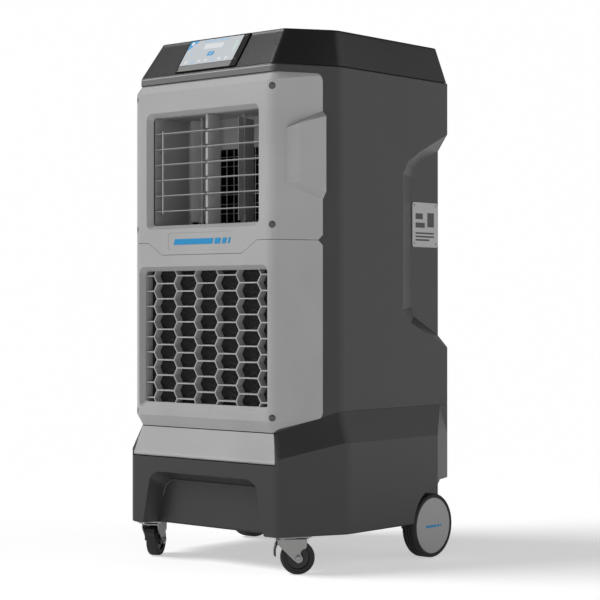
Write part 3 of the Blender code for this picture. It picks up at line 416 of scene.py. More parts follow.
def base_plan(inset=0.0):
    rear = (BASE_HALF - inset, 0.205), (BODY_HALF - inset, REAR_Y - inset)
    return closed_plan(front_corners(BASE_A, BASE_B, inset), *rear)


def body_plan(inset=0.0):
    rear = (BODY_HALF - inset, 0.246), (BODY_HALF - inset, REAR_Y - inset)
    return closed_plan(front_corners(BODY_A, BODY_B, inset), *rear)


def shell_plan(half_width, inset, rear_y):
    """The body's plan with a step in its sides, which leaves room for the side recesses."""
    rear = (BODY_HALF - inset, 0.088), (half_width, 0.098), (half_width, rear_y)
    return closed_plan(front_corners(BODY_A, BODY_B, inset), *rear)


def cap_plan(front, corner_x, side_x, side_y, rear):
    return fillet(mirrored([
        (corner_x, BODY_FRONT_Y + front, 0.014),
        (side_x, side_y, SIDE_RADIUS),
        (side_x, rear, 0.006),
    ]))


def at_level(plan, z):
    return [(x, y, z) for x, y in plan]


def on_slope(plan, levels, lift=0.0, like=None):
    return [(x, y, slope_height(other[0], levels) + lift) for (x, y), other in zip(plan, like or plan)]


# ---------------------------------------------------------------- tank base and its front panel


def toe_section(y, foot_z, foot, side, side_z, top, top_z, side_radius=0.020, segments=5):
    half = [(foot, foot_z, 0), (side, side_z, side_radius), (top, top_z, 0.024)]
    return [(x, y, z) for x, z in fillet(mirrored(half), segments)]


def wheel_well(side):
    arch = arc((WHEEL_Y, 0.082), 0.086, 180, 90, 14)
    outline = [(WHEEL_Y - 0.086, 0.060), *arch, (0.222, 0.182), (0.300, 0.182), (0.300, 0.060)]
    low, high = sorted((side * 0.255, side * 0.330))
    return extrusion("well", [outline], "X", low, high)


def tank_base():
    rim = body_plan(0.005)
    base = loft("tank_shell", [
        at_level(base_plan(0.004), BASE_BOTTOM),
        at_level(base_plan(0.0012), BASE_BOTTOM + 0.0012),
        at_level(base_plan(), BASE_BOTTOM + 0.004),
        on_slope(base_plan(), BAND_LOW),
        on_slope(body_plan(), BAND_TOP),
        on_slope(rim, BAND_TOP),
        at_level(rim, 0.228),
    ], DARK)
    cut(base, box("hollow", (-0.246, -0.226, 0.092), (0.246, 0.238, 0.229)))
    outer = toe_section(-0.290, 0.060, 0.2010, 0.1700, 0.204, 0.1450, 0.216)
    inner = toe_section(-0.233, 0.060, 0.1890, 0.1575, 0.176, 0.1370, 0.189)
    cut(base, loft("toe_recess", [outer, inner]))
    for side in (-1, 1):
        cut(base, wheel_well(side))
    cut(base, loft("fill_opening", [
        [(x, y, z) for x, y in ((-half, -0.300), (half, -0.300), (half, -0.235), (-half, -0.235))]
        for half, z in ((0.2248, 0.2425), (0.2052, 0.3128))
    ]))
    cut(base, box("service_pocket", (-0.190, 0.246, 0.115), (0.190, 0.300, 0.205)))
    cut(base, rod("drain_bore", (0, 0.2, 0.140), (0, 0.3, 0.140), 0.0125))
    cut(base, rod("inlet_bore", (-0.130, 0.2, 0.160), (-0.130, 0.3, 0.160), 0.0085))
    for side in (-1, 1):
        middle = Vector((side * 0.2275, WHEEL_Y, 0.07625))
        reach = Vector((0.0125, 0.016, 0.01375))
        join(base, box("lug", middle - reach, middle + reach))
    cut(base, rod("axle_bore", (-0.3, WHEEL_Y, WHEEL_RADIUS), (0.3, WHEEL_Y, WHEEL_RADIUS), 0.0066))
    soften(base, 0.0022, 3, sharp=9.5)
    show(base, "cabinet", "tank_base")
    recess_bead()


def recess_bead():
    """Fine raised edge round the back of the toe recess, lighter than the base as a painted highlight."""
    profile = (-0.2322, 0.0), (-0.2336, 0.0002), (-0.2345, 0.0012), (-0.2336, 0.0022), (-0.2322, 0.0024)
    edge = loft("recess_bead", [
        toe_section(y, 0.088, 0.1890 - d, 0.1575 - d, 0.176 - d, 0.1370 - d * 0.4, 0.189 - d, 0.020 - d, 8)
        for y, d in profile
    ], BEAD_HIGHLIGHT, closed=True)
    show(shade(edge, 50), "cabinet", ())


def door_slope(t, depth=0.0):
    foot, head = Vector((BASE_A[1], BAND_LOW[0])), Vector((BODY_FRONT_Y, BAND_TOP[0]))
    along = head - foot
    inward = Vector((along.y, -along.x)).normalized()
    return tuple(foot + along * t + inward * depth)


def fill_door():
    door = loft("fill_panel", [
        [
            (-half, *door_slope(t)), (half, *door_slope(t)), (half, *door_slope(t, 0.003)),
            (-half, *door_slope(t, 0.003)),
        ]
        for half, t in ((0.2235, 0.092), (0.2062, 0.978))
    ], LIGHT)
    hinge = (-0.2695, 0.2486)
    join(door, rod("barrel", (-0.2213, *hinge), (0.2213, *hinge), 0.0048, 32))
    cut(door, rod("bore", (-0.3, *hinge), (0.3, *hinge), 0.0026, 20))
    soften(door, 0.0013, 3)
    show(door, "fill_door", "fill_door")


# ---------------------------------------------------------------- body and cap


RIM_PROUD, RIM_BOTTOM = 0.0055, 1.1054  # the body's top edge stands proud at the front, above the upper cover


def rim_plan(inset=0.0):
    """The body's plan at its top edge, with the front brought forward."""
    half = BODY_HALF - inset
    corner = (BODY_A[0], BODY_A[1] - RIM_PROUD)
    return closed_plan(
        front_corners(corner, BODY_B, inset), (half, 0.088), (half, 0.098), (half, REAR_Y - inset)
    )


def side_recess(side):
    """Cutter for the hand recess in a side, which narrows from the side's face to the recess's back."""
    mouth = [
        (0.300, 1.0106), (0.164, 0.951), (0.122, 0.927), (0.103, 0.897),
        (0.103, 0.584), (0.133, 0.552), (0.243, 0.506), (0.300, 0.482),
    ]
    back = [
        (0.300, 0.9715), (0.208, 0.937), (0.180, 0.916), (0.171, 0.895),
        (0.171, 0.588), (0.180, 0.567), (0.273, 0.522), (0.300, 0.509),
    ]
    beyond = 0.25
    outside = [(y + beyond * (y - v), z + beyond * (z - w)) for (y, z), (v, w) in zip(mouth, back)]
    return loft(
        "recess", [[(side * x, y, z) for y, z in ring] for x, ring in ((0.290, outside), (0.255, back))]
    )


def main_housing():
    outer, inner = shell_plan(BODY_HALF, 0, REAR_Y), shell_plan(0.251, WALL, REAR_Y - WALL)
    housing = loft("cabinet_shell", [
        on_slope(outer, BAND_TOP, GAP),
        at_level(outer, RIM_BOTTOM),
        at_level(rim_plan(), RIM_BOTTOM + 0.0002),
        at_level(rim_plan(), BODY_TOP - 0.003),
        at_level(rim_plan(0.0009), BODY_TOP - 0.0009),
        at_level(rim_plan(0.003), BODY_TOP),
        at_level(inner, BODY_TOP),
        on_slope(inner, BAND_TOP, GAP, outer),
    ], DARK, closed=True)
    half, low, high = OUTLET
    cut(
        housing,
        box("outlet_cut", (-half - 0.001, -0.30, low - 0.001), (half + 0.001, -0.25, high + 0.001)),
    )
    cut(housing, box("intake_cut", (-0.198, -0.30, 0.362), (0.198, -0.25, 0.679)))
    cut(housing, box("rear_cut", (-0.225, 0.26, 0.400), (0.225, 0.30, 1.080)))
    cut(housing, side_recess(-1))
    cut(housing, side_recess(1))
    soften(housing, 0.0030, 3, limit=20.0, sharp=9.5)
    show(housing, "cabinet", "main_housing")


CAP_SIZES = (-0.0035, 0.2080, 0.2827, -0.1192, 0.2757), (0.0507, 0.1933, 0.2614, -0.1081, 0.2624)


def top_cap():
    """Hollow cap. Its walls are skinned in many levels, because its corner faces twist from foot to head."""
    foot_z, head_z, levels = BODY_TOP + GAP, HEIGHT - 0.0040, 14
    foot, head = CAP_SIZES
    rings = [
        at_level(cap_plan(0.056, 0.190, 0.257, -0.106, 0.257), HEIGHT - 0.005),
        at_level(cap_plan(0.0015, 0.203, 0.275, -0.1165, 0.268), foot_z),
        at_level(cap_plan(foot[0] + 0.001, foot[1], foot[2] - 0.001, foot[3], foot[4] - 0.001), foot_z),
    ]
    for k in range(levels + 1):
        t = (k + 0.08) / (levels + 0.08)
        sizes = [a + (b - a) * t for a, b in zip(foot, head)]
        rings.append(at_level(cap_plan(*sizes), foot_z + (head_z - foot_z) * t))
    front, corner_x, side_x, side_y, rear = head
    for inset, drop in ((0.0008, 0.0018), (0.0020, 0.0006), (0.0040, 0.0)):
        plan = cap_plan(
            front + inset, corner_x - inset * 0.65, side_x - inset, side_y + inset * 0.25, rear - inset
        )
        rings.append(at_level(plan, HEIGHT - drop))
    cap = loft("cap_shell", rings, CAP_SHADED)
    show(shade(cap, 30), "cabinet", "top_cap")
    front_ledge()


def fade_into_body(mat):
    """Turns the finish into the body's dark grey round the front corners, where the lip's painted highlight
    fades out.
    """
    tree = mat.node_tree
    colour = tree.nodes["Principled BSDF"].inputs["Base Color"]
    split, size = tree.nodes.new("ShaderNodeSeparateXYZ"), tree.nodes.new("ShaderNodeMath")
    size.operation = "ABSOLUTE"
    tree.links.new(tree.nodes.new("ShaderNodeTexCoord").outputs["Object"], split.inputs[0])
    tree.links.new(split.outputs["X"], size.inputs[0])
    # Blend towards the body's grey past the front corners; on the lip it paints the highlight fading out.
    past_corner = ramp(tree, size.outputs[0], 0.196, 0.216, smooth=True)
    tree.links.new(blend(tree, past_corner, colour.links[0].from_socket, neutral(44)), colour)


def front_ledge():
    """Strip on the body's front under the cap, with a lip that slopes back to the cap's foot. The lip's
    lighter grey is a painted highlight.
    """
    fade_into_body(LEDGE)
    fade_into_body(LIP_HIGHLIGHT)
    corner = Vector((BODY_A[0], BODY_A[1] - RIM_PROUD))
    chamfer = [tuple(corner + (Vector(BODY_B) - corner) * t) for t in (0.18, 0.25, 0.35)]
    plan = [(x, y) for x, y in rim_plan() if y < -0.245] + chamfer + [(-x, y) for x, y in chamfer]
    foot_z, bend_z, lip_z, top_z = 1.1060, 1.1180, 1.1192, BODY_TOP - 0.0002
    strip, lip = [], []
    for x, y in sorted(plan):
        turn = min(max((abs(x) - 0.197) / 0.020, 0), 1) * math.radians(62)
        out = Vector((math.copysign(math.sin(turn), x), -math.cos(turn)))
        here = Vector((x, y))
        face = here + out * 0.0006 * min(max((0.235 - abs(x)) / 0.035, 0.05), 1)
        back, top = here - out * 0.003, here - out * 0.0026
        strip.append([(*back, foot_z), (*face, foot_z), (*face, bend_z), (*back, bend_z)])
        low = bend_z + 0.0001
        lip.append([(*back, low), (*face, low), (*face, lip_z), (*top, top_z), (*back, top_z)])
    for name, rings, mat in (("front_strip", strip, LEDGE), ("front_lip", lip, LIP_HIGHLIGHT)):
        show(shade(loft(name, rings, mat), 20), "cabinet", ())


def on_cap_slope(x, along, raised):
    foot = Vector((0, BODY_FRONT_Y - 0.0035, BODY_TOP + GAP))
    head = Vector((0, BODY_FRONT_Y + 0.0520, HEIGHT - 0.002))
    up = (head - foot).normalized()
    out = Vector((0, -up.z, up.y))
    point = foot + up * along + out * raised
    return Vector((x, point.y, point.z))


def slab(name, corners, low, high, mat, width=0.0003):
    """A thin plate on the cap's slope, from outline points (x, along)."""
    made = loft(name, [[on_cap_slope(x, s, r) for x, s in corners] for r in (low, high)], mat)
    return soften(made, width, 2) if width else made


PANEL = (-0.095, 0.095, 0.0020, 0.0980)
SCREEN = (-0.0915, 0.0765, 0.0203, 0.0950)


def display():
    frame_part = slab("panel_frame", rounded(*PANEL), GAP, 0.0034, PANEL_BLACK, 0.0006)
    left, right, low, high = SCREEN
    cut(frame_part, slab("pocket", rounded(left, right, low, high, 0.001), 0.0016, 0.010, None, 0))
    show(frame_part, "cabinet", "display_housing")
    margin = slab(
        "panel_margin", rounded(left + 0.001, right - 0.0005, PANEL[2] + 0.0012, low - 0.0012), 0.0030,
        0.0038, MARGIN,
    )
    show(margin, "cabinet", ())
    glass = slab(
        "screen_glass", rounded(left + 0.0004, right - 0.0004, low + 0.0004, high - 0.0004, 0.0008),
        0.0018, 0.0034, GLASS, 0.0002,
    )
    show(glass, "cabinet", "display_glass")
    for name, x, s in (
        ("panel_screw_top", 0.0862, high - 0.006), ("panel_screw_low", 0.0850, low + 0.002),
        ("panel_screw_left", -0.0905, low - 0.012),
    ):
        out = (on_cap_slope(x, s, 1) - on_cap_slope(x, s, 0)).normalized()
        profile = [
            (0, 0.0002), (0.0016, 0.0002), (0.0020, 0.0006), (0.0034, 0.0006), (0.0037, 0.0),
            (0.0037, -0.0014), (0, -0.0014),
        ]
        head = lathe(name, profile, on_cap_slope(x, s, 0.0042), out, BLACK, 24)
        show(head, "cabinet", ())
    draw_screen(left, right, low, high)


def draw_screen(left, right, low, high):
    """Generic controls with no lettering: a corner flag, a heading, a reading, a button and symbols."""
    def at(u, v):
        return (left + (right - left) * u, low + (high - low) * v)

    def block(u0, v0, u1, v1, round_by=0.0012):
        (x0, s0), (x1, s1) = at(u0, v0), at(u1, v1)
        return rounded(x0, x1, s0, s1, round_by)

    def disc(u, v, radius):
        x, s = at(u, v)
        return [
            (x + radius * math.cos(math.tau * k / 20), s + radius * math.sin(math.tau * k / 20))
            for k in range(20)
        ]

    items = [
        ("flag", [at(0.006, 0.60), at(0.17, 0.990), at(0.006, 0.990)], UI_BLUE),
        ("flag_dot", disc(0.066, 0.885, 0.0052), UI_WHITE),
        ("heading", block(0.27, 0.885, 0.74, 0.955), UI_PALE),
        ("reading", block(0.32, 0.60, 0.68, 0.80, 0.003), UI_WHITE),
        ("button", block(0.45, 0.30, 0.57, 0.47, 0.003), UI_BLUE),
        ("button_mark", block(0.485, 0.36, 0.535, 0.41, 0.001), UI_PALE),
        ("slider", block(0.905, 0.40, 0.935, 0.80, 0.0015), UI_GREEN),
        ("side_mark", disc(0.135, 0.47, 0.0038), UI_PALE),
    ]
    for k, u in enumerate((0.10, 0.225, 0.35, 0.475, 0.60, 0.725, 0.85)):
        items.append((f"symbol_{k}", disc(u, 0.13, 0.0046), UI_PALE if k % 3 == 1 else UI_WHITE))
    for name, outline, mat in items:
        raised = 0.00355 if name in ("flag_dot", "button_mark") else 0.00345
        piece = slab("screen_" + name, outline, raised - 0.0004, raised, mat, 0)
        show(piece, "cabinet", ())


# ---------------------------------------------------------------- front covers

END_DISTANCES = (0.075, 0.045, 0.022, 0.013, 0.0105, 0.0080, 0.0058, 0.0040, 0.0025, 0.0012, 0.0004, 0.0)


def cover_stations(breaks):
    """Stations along the covers' path: outer point, inner point on the body, and distance from the end."""
    outer = fillet(
        [(0, FRONT_Y, 0), (FACE_HALF, FRONT_Y, BEND_RADIUS), (*COVER_END, 0), (0, 0, 0)], 12
    )[1:-1]
    bend, end = outer[:-1], Vector(outer[-1])
    inner_a = Vector((BODY_A[0] + 0.0001, BODY_FRONT_Y - 2 * GAP))
    inner_b = Vector((BODY_B[0] + 2 * GAP, BODY_B[1] - GAP))
    chamfer = (inner_b - inner_a).normalized()
    corner = fillet([(0, inner_a.y, 0), (*inner_a, CORNER_RADIUS), (*inner_b, 0), (0, 0, 0)], 12)[1:-2]
    stations = [(Vector((x, FRONT_Y)), Vector((x, BODY_FRONT_Y - GAP)), 1.0) for x in breaks]
    stations += [(Vector(o), Vector(i), 1.0) for o, i in zip(bend, corner)]
    last_inner = inner_a + chamfer * ((end - inner_a) @ chamfer)
    first_outer, first_inner, _ = stations[-1]
    length = (end - first_outer).length
    for distance in END_DISTANCES:
        t = 1 - distance / length
        stations.append((first_outer.lerp(end, t), first_inner.lerp(last_inner, t), distance))
    return stations


def cover(name, breaks, bottom, top):
    """A front cover lofted along its path. bottom and top give (inner z, outer z) at each station."""
    right = cover_stations(breaks)
    rings = []
    for sign in (-1, 1):
        for outer, inner, distance in reversed(right) if sign < 0 else right:
            if sign > 0 and outer.x == 0:
                continue
            thickness = (outer - inner).length
            lip = inner.lerp(outer, min(0.0012 / thickness, 0.3))
            low_in, low_out = bottom(outer.x, thickness, distance)
            high_in, high_out = top(outer.x, thickness, distance)
            section = (
                (inner, low_in), (lip, low_in), (outer, low_out), (outer, high_out), (lip, high_in),
                (inner, high_in),
            )
            rings.append([(sign * p.x, p.y, z) for p, z in section])
    return loft(name, rings, LIGHT)


def seam(x):
    t = min(max((abs(x) - 0.126) / 0.044, 0), 1)
    return SEAM_MIDDLE + (SEAM_SIDE - SEAM_MIDDLE) * t


def corner_drop(distance, radius):
    if distance >= radius:
        return 0.0
    return radius - math.sqrt(max(radius**2 - (radius - distance) ** 2, 0))


def bevel_drop(thickness, size):
    return size * min(thickness / 0.016, 1)


def cut_window(piece, inner, rim):
    def ring(shape, y, radius):
        half, low, high = shape
        return [(x, y, z) for x, z in fillet(rectangle(half, low, high, radius), 6)]
    beyond = [r + (r - i) * 0.4 for r, i in zip(rim, inner)]
    rings = [
        ring(beyond, FRONT_Y - 0.0056, 0.018), ring(inner, FRONT_Y + 0.014, 0.010),
        ring(inner, -0.240, 0.010),
    ]
    cut(piece, loft("window", rings))


SEAM_BREAKS = (0, 0.1215, 0.126, 0.1305, 0.1655, 0.170, 0.1745)


def soft_seam(x):
    """The seam with its four bends slightly rounded."""
    return (seam(x - 0.003) + seam(x) * 2 + seam(x + 0.003)) / 4


def upper_cover():
    def bottom(x, thickness, distance):
        z = soft_seam(x) + 0.0005 + max(0.011 - distance, 0)
        return z, z

    def top(x, thickness, distance):
        z = COVER_TOP - corner_drop(distance, 0.014)
        return z, z - bevel_drop(thickness, 0.021)

    piece = cover("upper_cover", SEAM_BREAKS, bottom, top)
    cut_window(piece, OUTLET, OUTLET_RIM)
    mouth = rounded(-0.107, 0.101, 0.7165, 0.7595, 0.009, 6)
    bed = rounded(-0.1055, 0.0995, 0.718, 0.758, 0.008, 6)
    cut(piece, loft("badge_recess", [
        [(x, FRONT_Y - 0.001, z) for x, z in mouth],
        [(x, FRONT_Y + 0.0009, z) for x, z in bed],
    ]))
    return piece


def lower_cover():
    def bottom(x, thickness, distance):
        rise = slope_height(x, BAND_TOP) - BAND_TOP[0]
        z = COVER_BOTTOM + rise * 0.92 + corner_drop(distance, 0.008)
        return z, z + bevel_drop(thickness, 0.026)

    def top(x, thickness, distance):
        z = soft_seam(x) - 0.0005 - max(0.011 - distance, 0)
        return z, z

    piece = cover("lower_cover", SEAM_BREAKS, bottom, top)
    cut_window(piece, INTAKE, INTAKE_RIM)
    return piece


def front_covers():
    covers = {"upper": upper_cover(), "lower": lower_cover()}
    turn = math.radians(33.6)
    number = 0
    for z, owner in ((1.073, "upper"), (0.770, "upper"), (0.347, "lower")):
        for side in (-1, 1):
            number += 1
            out = Vector((side * math.sin(turn), -math.cos(turn), 0))
            face = Vector((side * 0.2115, -0.2705, z))
            cut(covers[owner], rod("counterbore", face - out * 0.0040, face + out * 0.02, 0.0078, 32))
            dome = [
                (0.0068 * math.sin(a), 0.0006 - 0.0030 * (1 - math.cos(a)))
                for a in (math.radians(15 * k) for k in range(7))
            ]
            screw = lathe(
                f"cover_screw_{number}", [(0, -0.0037), *dome, (0.0068, -0.0037)], face, out, SCREW, 32
            )
            socket = rod("socket", face - out * 0.0016, face + out * 0.002, 0.0022, 6)
            cut(screw, socket)
            show(shade(screw, 28), "cabinet", f"bezel_screw_{number}")
    for owner, piece in covers.items():
        soften(piece, 0.0016, 3, limit=24.0, sharp=9.5)
        show(piece, "cabinet", owner + "_bezel")
    for side, name in SIDES:
        grip(side, name)
    badge()


def on_angled_face(side, along, z, raised):
    start = Vector((FACE_HALF, FRONT_Y))
    direction = (Vector(COVER_END) - start).normalized()
    out = Vector((direction.y, -direction.x))
    point = start + direction * along + out * raised
    return (side * point.x, point.y, z)


def grip(side, name):
    """Faceted grip that stands out from the upper cover's angled face."""
    foot = [(0.032, 0.861), (0.1235, 0.826), (0.1235, 1.022), (0.032, 0.982)]
    head = [(0.058, 0.864), (0.1235, 0.843), (0.1235, 1.010), (0.058, 0.992)]
    made = loft("grip_" + name, [
        [on_angled_face(side, s, z, -0.0030) for s, z in foot],
        [on_angled_face(side, s, z, 0.0) for s, z in foot],
        [on_angled_face(side, s, z, 0.0175) for s, z in head],
    ], LIGHT)
    soften(made, 0.0035, 4, limit=12.0, sharp=60.0)
    show(made, "cabinet", ())


def badge():
    """Generic mark: a long slanted bar and three short ones."""
    y = FRONT_Y + 0.0009
    for k, (start, end) in enumerate(((-0.088, 0.034), (0.040, 0.058), (0.064, 0.076), (0.082, 0.088))):
        outline = slanted(start, end, 0.7315, 0.7445, 0.004)
        made = extrusion(f"badge_bar_{k}", [outline], "Y", y - 0.0007, y + 0.0004, MARK)
        show(soften(made, 0.0003, 2), "cabinet", ())


# ---------------------------------------------------------------- intake


def clip_to(points, half, low, high):
    for inside in (
        lambda p: half - p[0], lambda p: half + p[0], lambda p: high - p[1], lambda p: p[1] - low
    ):
        kept = []
        for here, ahead in zip(points, points[1:] + points[:1]):
            a, b = inside(here), inside(ahead)
            if a >= 0:
                kept.append(here)
            if (a >= 0) != (b >= 0):
                t = a / (a - b)
                kept.append((here[0] + (ahead[0] - here[0]) * t, here[1] + (ahead[1] - here[1]) * t))
        points = kept
        if not points:
            return []
    return points


def honeycomb():
    half, low, high = 0.1975, 0.3624, 0.6786
    column_pitch, row_pitch = 0.0653, 0.03535
    right = [(0.0267, -0.0162), (0.0362, 0.0), (0.0267, 0.0162)]
    hexagon = right + [(-u, -v) for u, v in right]
    loops = [fillet(rectangle(half, low, high))]
    for column in range(-3, 4):
        shift = row_pitch / 2 if column % 2 == 0 else 0
        for row in range(-2, 10):
            x, z = column * column_pitch, 0.396 + shift + row * row_pitch
            cell = fillet([(x + u, z + v, 0.002) for u, v in hexagon], 2)
            cell = clip_to(cell, half - 0.005, low + 0.006, high - 0.006)
            if len(cell) > 2 and max(p[1] for p in cell) - min(p[1] for p in cell) > 0.004:
                loops.append(cell)
    grille = extrusion("intake_grille", loops, "Y", -0.2597, -0.2407, LIGHT)
    soften(grille, 0.0005, 2, limit=50.0, sharp=35.0)
    show(grille, "cabinet", "honeycomb_grille")


def cooling_pad():
    """Stacked sheets of media, fluted one way and the other."""
    bm = bmesh.new()
    half, low, high, front, rear = 0.1920, 0.3416, 0.6826, -0.2398, -0.1490
    sheets, rows, depth = 56, 96, 0.0042
    pitch = 2 * half / sheets
    grid = []
    for j in range(rows + 1):
        z = low + (high - low) * j / rows
        line = []
        for i in range(2 * sheets + 1):
            x = -half + pitch * i / 2
            way = 1 if (i // 2) % 2 else -1
            wave = math.sin(math.tau * (z / 0.014 + way * i * 0.17))
            ridge = 0.0 if i % 2 == 0 else 1.0
            line.append(bm.verts.new((x, front + depth * (0.5 + 0.5 * wave) * ridge, z)))
        grid.append(line)
    for a, b in zip(grid, grid[1:]):
        for i in range(len(a) - 1):
            bm.faces.new((a[i], a[i + 1], b[i + 1], b[i]))
    edge = grid[0] + [row[-1] for row in grid[1:]] + grid[-1][-2::-1] + [row[0] for row in grid[-2:0:-1]]
    back = [bm.verts.new((v.co.x, rear, v.co.z)) for v in edge]
    bridge(bm, edge, back)
    bm.faces.new(back)
    pad = shade(put("fluted_pad", bm, PAD), 40)
    show(pad, "cabinet", "cooling_pad")


# ---------------------------------------------------------------- outlet


def louvers():
    half = OUTLET[0] - 0.001
    chord = BLADE_CHORD / 2
    around = [math.tau * k / 36 for k in range(36)]
    section = [
        (chord * math.cos(a), math.copysign(0.00125 * abs(math.sin(a)) ** 0.55, math.sin(a)))
        for a in around
    ]
    blade = extrusion("air_blade", [section], "X", -half, half, LIGHT)
    reach = TIE_Y - BLADE_Y + 0.0045
    cut(blade, box("tie_notch", (TIE_X - 0.0026, -0.02, -0.01), (TIE_X + 0.0026, reach, 0.01)))
    cut(blade, box("rib_notch", (-0.0055, -0.02, -0.01), (0.0055, 0.02, 0.01)))
    for start, end in ((-half - 0.0017, -half + 0.004), (-0.0095, 0.0095), (half - 0.004, half + 0.0017)):
        join(blade, rod("shaft", (start, 0, 0), (end, 0, 0), 0.0022, 20))
    pin_y = TIE_Y - BLADE_Y
    join(blade, rod("pin", (TIE_X - 0.006, pin_y, 0), (TIE_X + 0.006, pin_y, 0), 0.0007, 12))
    shade(blade, 30)
    for k in range(BLADE_COUNT):
        piece = blade.copy()
        piece.name = f"air_blade_{k + 1}"
        bpy.context.scene.collection.objects.link(piece)
        piece.location = (0, BLADE_Y, BLADE_LOW + k * BLADE_PITCH)
        show(piece, f"blade_{k + 1}", f"louver_blade_{k + 1}")
    bpy.data.objects.remove(blade)
    low, high = BLADE_LOW - 0.006, BLADE_LOW + (BLADE_COUNT - 1) * BLADE_PITCH + 0.006
    bar = box(
        "blade_link", (TIE_X - 0.0015, TIE_Y - 0.002, low), (TIE_X + 0.0015, TIE_Y + 0.002, high), LIGHT
    )
    show(soften(bar, 0.0006, 2), "tie_bar", "louver_tie_bar")
    rib = box("middle_rib", (-0.0035, -0.2575, OUTLET[1] + GAP), (0.0035, -0.217, OUTLET[2] - GAP), LIGHT)
    for k in range(BLADE_COUNT):
        z = BLADE_LOW + k * BLADE_PITCH
        slot = fillet(
            [
                (-0.27, z - 0.0045, 0), (BLADE_Y + 0.0045, z - 0.0045, 0.0043),
                (BLADE_Y + 0.0045, z + 0.0045, 0.0043), (-0.27, z + 0.0045, 0),
            ],
            5,
        )
        cut(rib, extrusion("slot", [slot], "X", -0.01, 0.01))
    show(soften(rib, 0.0006, 2), "cabinet", "louver_rib")


def vanes():
    low, high = 0.785, 1.018
    half = [(0.0007, 0.050), (0.0012, 0.0495), (0.0015, 0.0), (0.0008, -0.0274), (0.0004, -0.028)]
    for side, name in SIDES:
        plate = extrusion("air_vane_" + name, [mirrored(half)], "Z", low, high, LIGHT)
        join(plate, rod("pivot", (0, 0, OUTLET[1] + GAP), (0, 0, OUTLET[2] - GAP), 0.0031))
        for z in (low, high - 0.012):
            join(plate, rod("boss", (0, 0, z), (0, 0, z + 0.012), 0.0052))
        shade(plate, 30)
        plate.location = (side * VANE_X, VANE_Y, 0)
        plate.rotation_euler = (0, 0, math.radians(side * VANE_FLARE))
        show(plate, "vane_" + name, "vane_" + name)


def wire_grid(name, xs, zs, y, radius, mat):
    """Upright wires at the xs, with level ones at the zs behind them."""
    bm = bmesh.new()
    for x in xs:
        add_rod(bm, (x, y, min(zs)), (x, y, max(zs)), radius, 8)
    for z in zs:
        add_rod(bm, (min(xs), y + 2 * radius, z), (max(xs), y + 2 * radius, z), radius, 8)
    return shade(put(name, bm, mat), 30)


def outlet_back():
    xs = [-0.1585 + 0.317 * k / 14 for k in range(15)]
    zs = [0.7845 + 0.176 * k / 8 for k in range(9)]
    guard = wire_grid("finger_guard", xs, zs, DUCT_BACK, 0.0009, ZINC)
    show(guard, "cabinet", "outlet_guard")
    outer = fillet(rectangle(0.1665, 0.7785, 0.9680, 0.006), 5)
    inner = fillet(rectangle(0.1595, 0.7835, 0.9560, 0.004), 5)
    lip = extrusion("outlet_lip", [outer, inner], "Y", DUCT_BACK - 0.004, DUCT_BACK - 0.0003, LIGHT)
    show(soften(lip, 0.0012, 3), "cabinet", ())


# ---------------------------------------------------------------- small fittings


def rating_plate():
    outline = rounded(0.174, 0.2735, 0.731, 0.837, 0.006, 6)
    plate = extrusion("data_plate", [outline], "X", 0.2553, 0.2563, ALUMINIUM)
    show(soften(plate, 0.0003, 2), "cabinet", "rating_plate")
    rivet = [(0, 0), (0, 0.0016), (0.0016, 0.0014), (0.0030, 0.0006), (0.0034, 0)]
    for k, (y, z) in enumerate(((0.1815, 0.7385), (0.266, 0.7385), (0.1815, 0.8295), (0.266, 0.8295))):
        head = lathe(f"plate_rivet_{k}", rivet, (0.2562, y, z), (1, 0, 0), ZINC, 24)
        show(head, "cabinet", ())
    blocks = [
        (0.186, 0.797, 0.214, 0.811), (0.186, 0.777, 0.222, 0.789), (0.232, 0.779, 0.258, 0.813),
        (0.186, 0.762, 0.258, 0.766), (0.186, 0.754, 0.258, 0.758), (0.186, 0.746, 0.240, 0.750),
    ]
    for k, (front, low, rear, high) in enumerate(blocks):
        outline = slanted(front, rear, low, high)
        block = extrusion(f"plate_block_{k}", [outline], "X", 0.2561, 0.25645, PRINT)
        show(block, "cabinet", ())


def rear_fittings():
    drain = [
        (0, 0), (0.0118, 0), (0.0118, 0.008), (0.0150, 0.0083), (0.0150, 0.0105), (0.0172, 0.012),
        (0.0175, 0.0255), (0.0160, 0.0275), (0.0120, 0.0275), (0.0105, 0.0245), (0, 0.0245),
    ]
    inlet = [
        (0.0052, 0), (0.0078, 0), (0.0078, 0.008), (0.0142, 0.0083), (0.0145, 0.0095),
        (0.0145, 0.0240), (0.0138, 0.0255), (0.0085, 0.0255), (0.0085, 0.0275), (0.0078, 0.0285),
        (0.0085, 0.0295), (0.0078, 0.0310), (0.0085, 0.0325), (0.0078, 0.0345), (0.0072, 0.0357),
        (0.0052, 0.0357),
    ]
    cord = [
        (0.004, 0.008), (0.0132, 0.008), (0.0134, 0.009), (0.0134, 0.0165), (0.0125, 0.0175),
        (0.0098, 0.0175), (0.0095, 0.022), (0.0072, 0.0317), (0.0040, 0.0317),
    ]
    for name, profile, x, z, node, mat, slot in (
        ("drain", drain, 0.0, 0.140, "drain_plug", BLACK, "black_plastic"),
        ("inlet", inlet, -0.130, 0.160, "hose_inlet", BRASS, "brass"),
        ("cord", cord, 0.130, 0.160, "cord_gland", BLACK, "black_plastic"),
    ):
        made = lathe(name + "_fitting", profile, (x, 0.2383, z), (0, 1, 0), mat, 48)
        show(made, "cabinet", node)


# ---------------------------------------------------------------- wheels


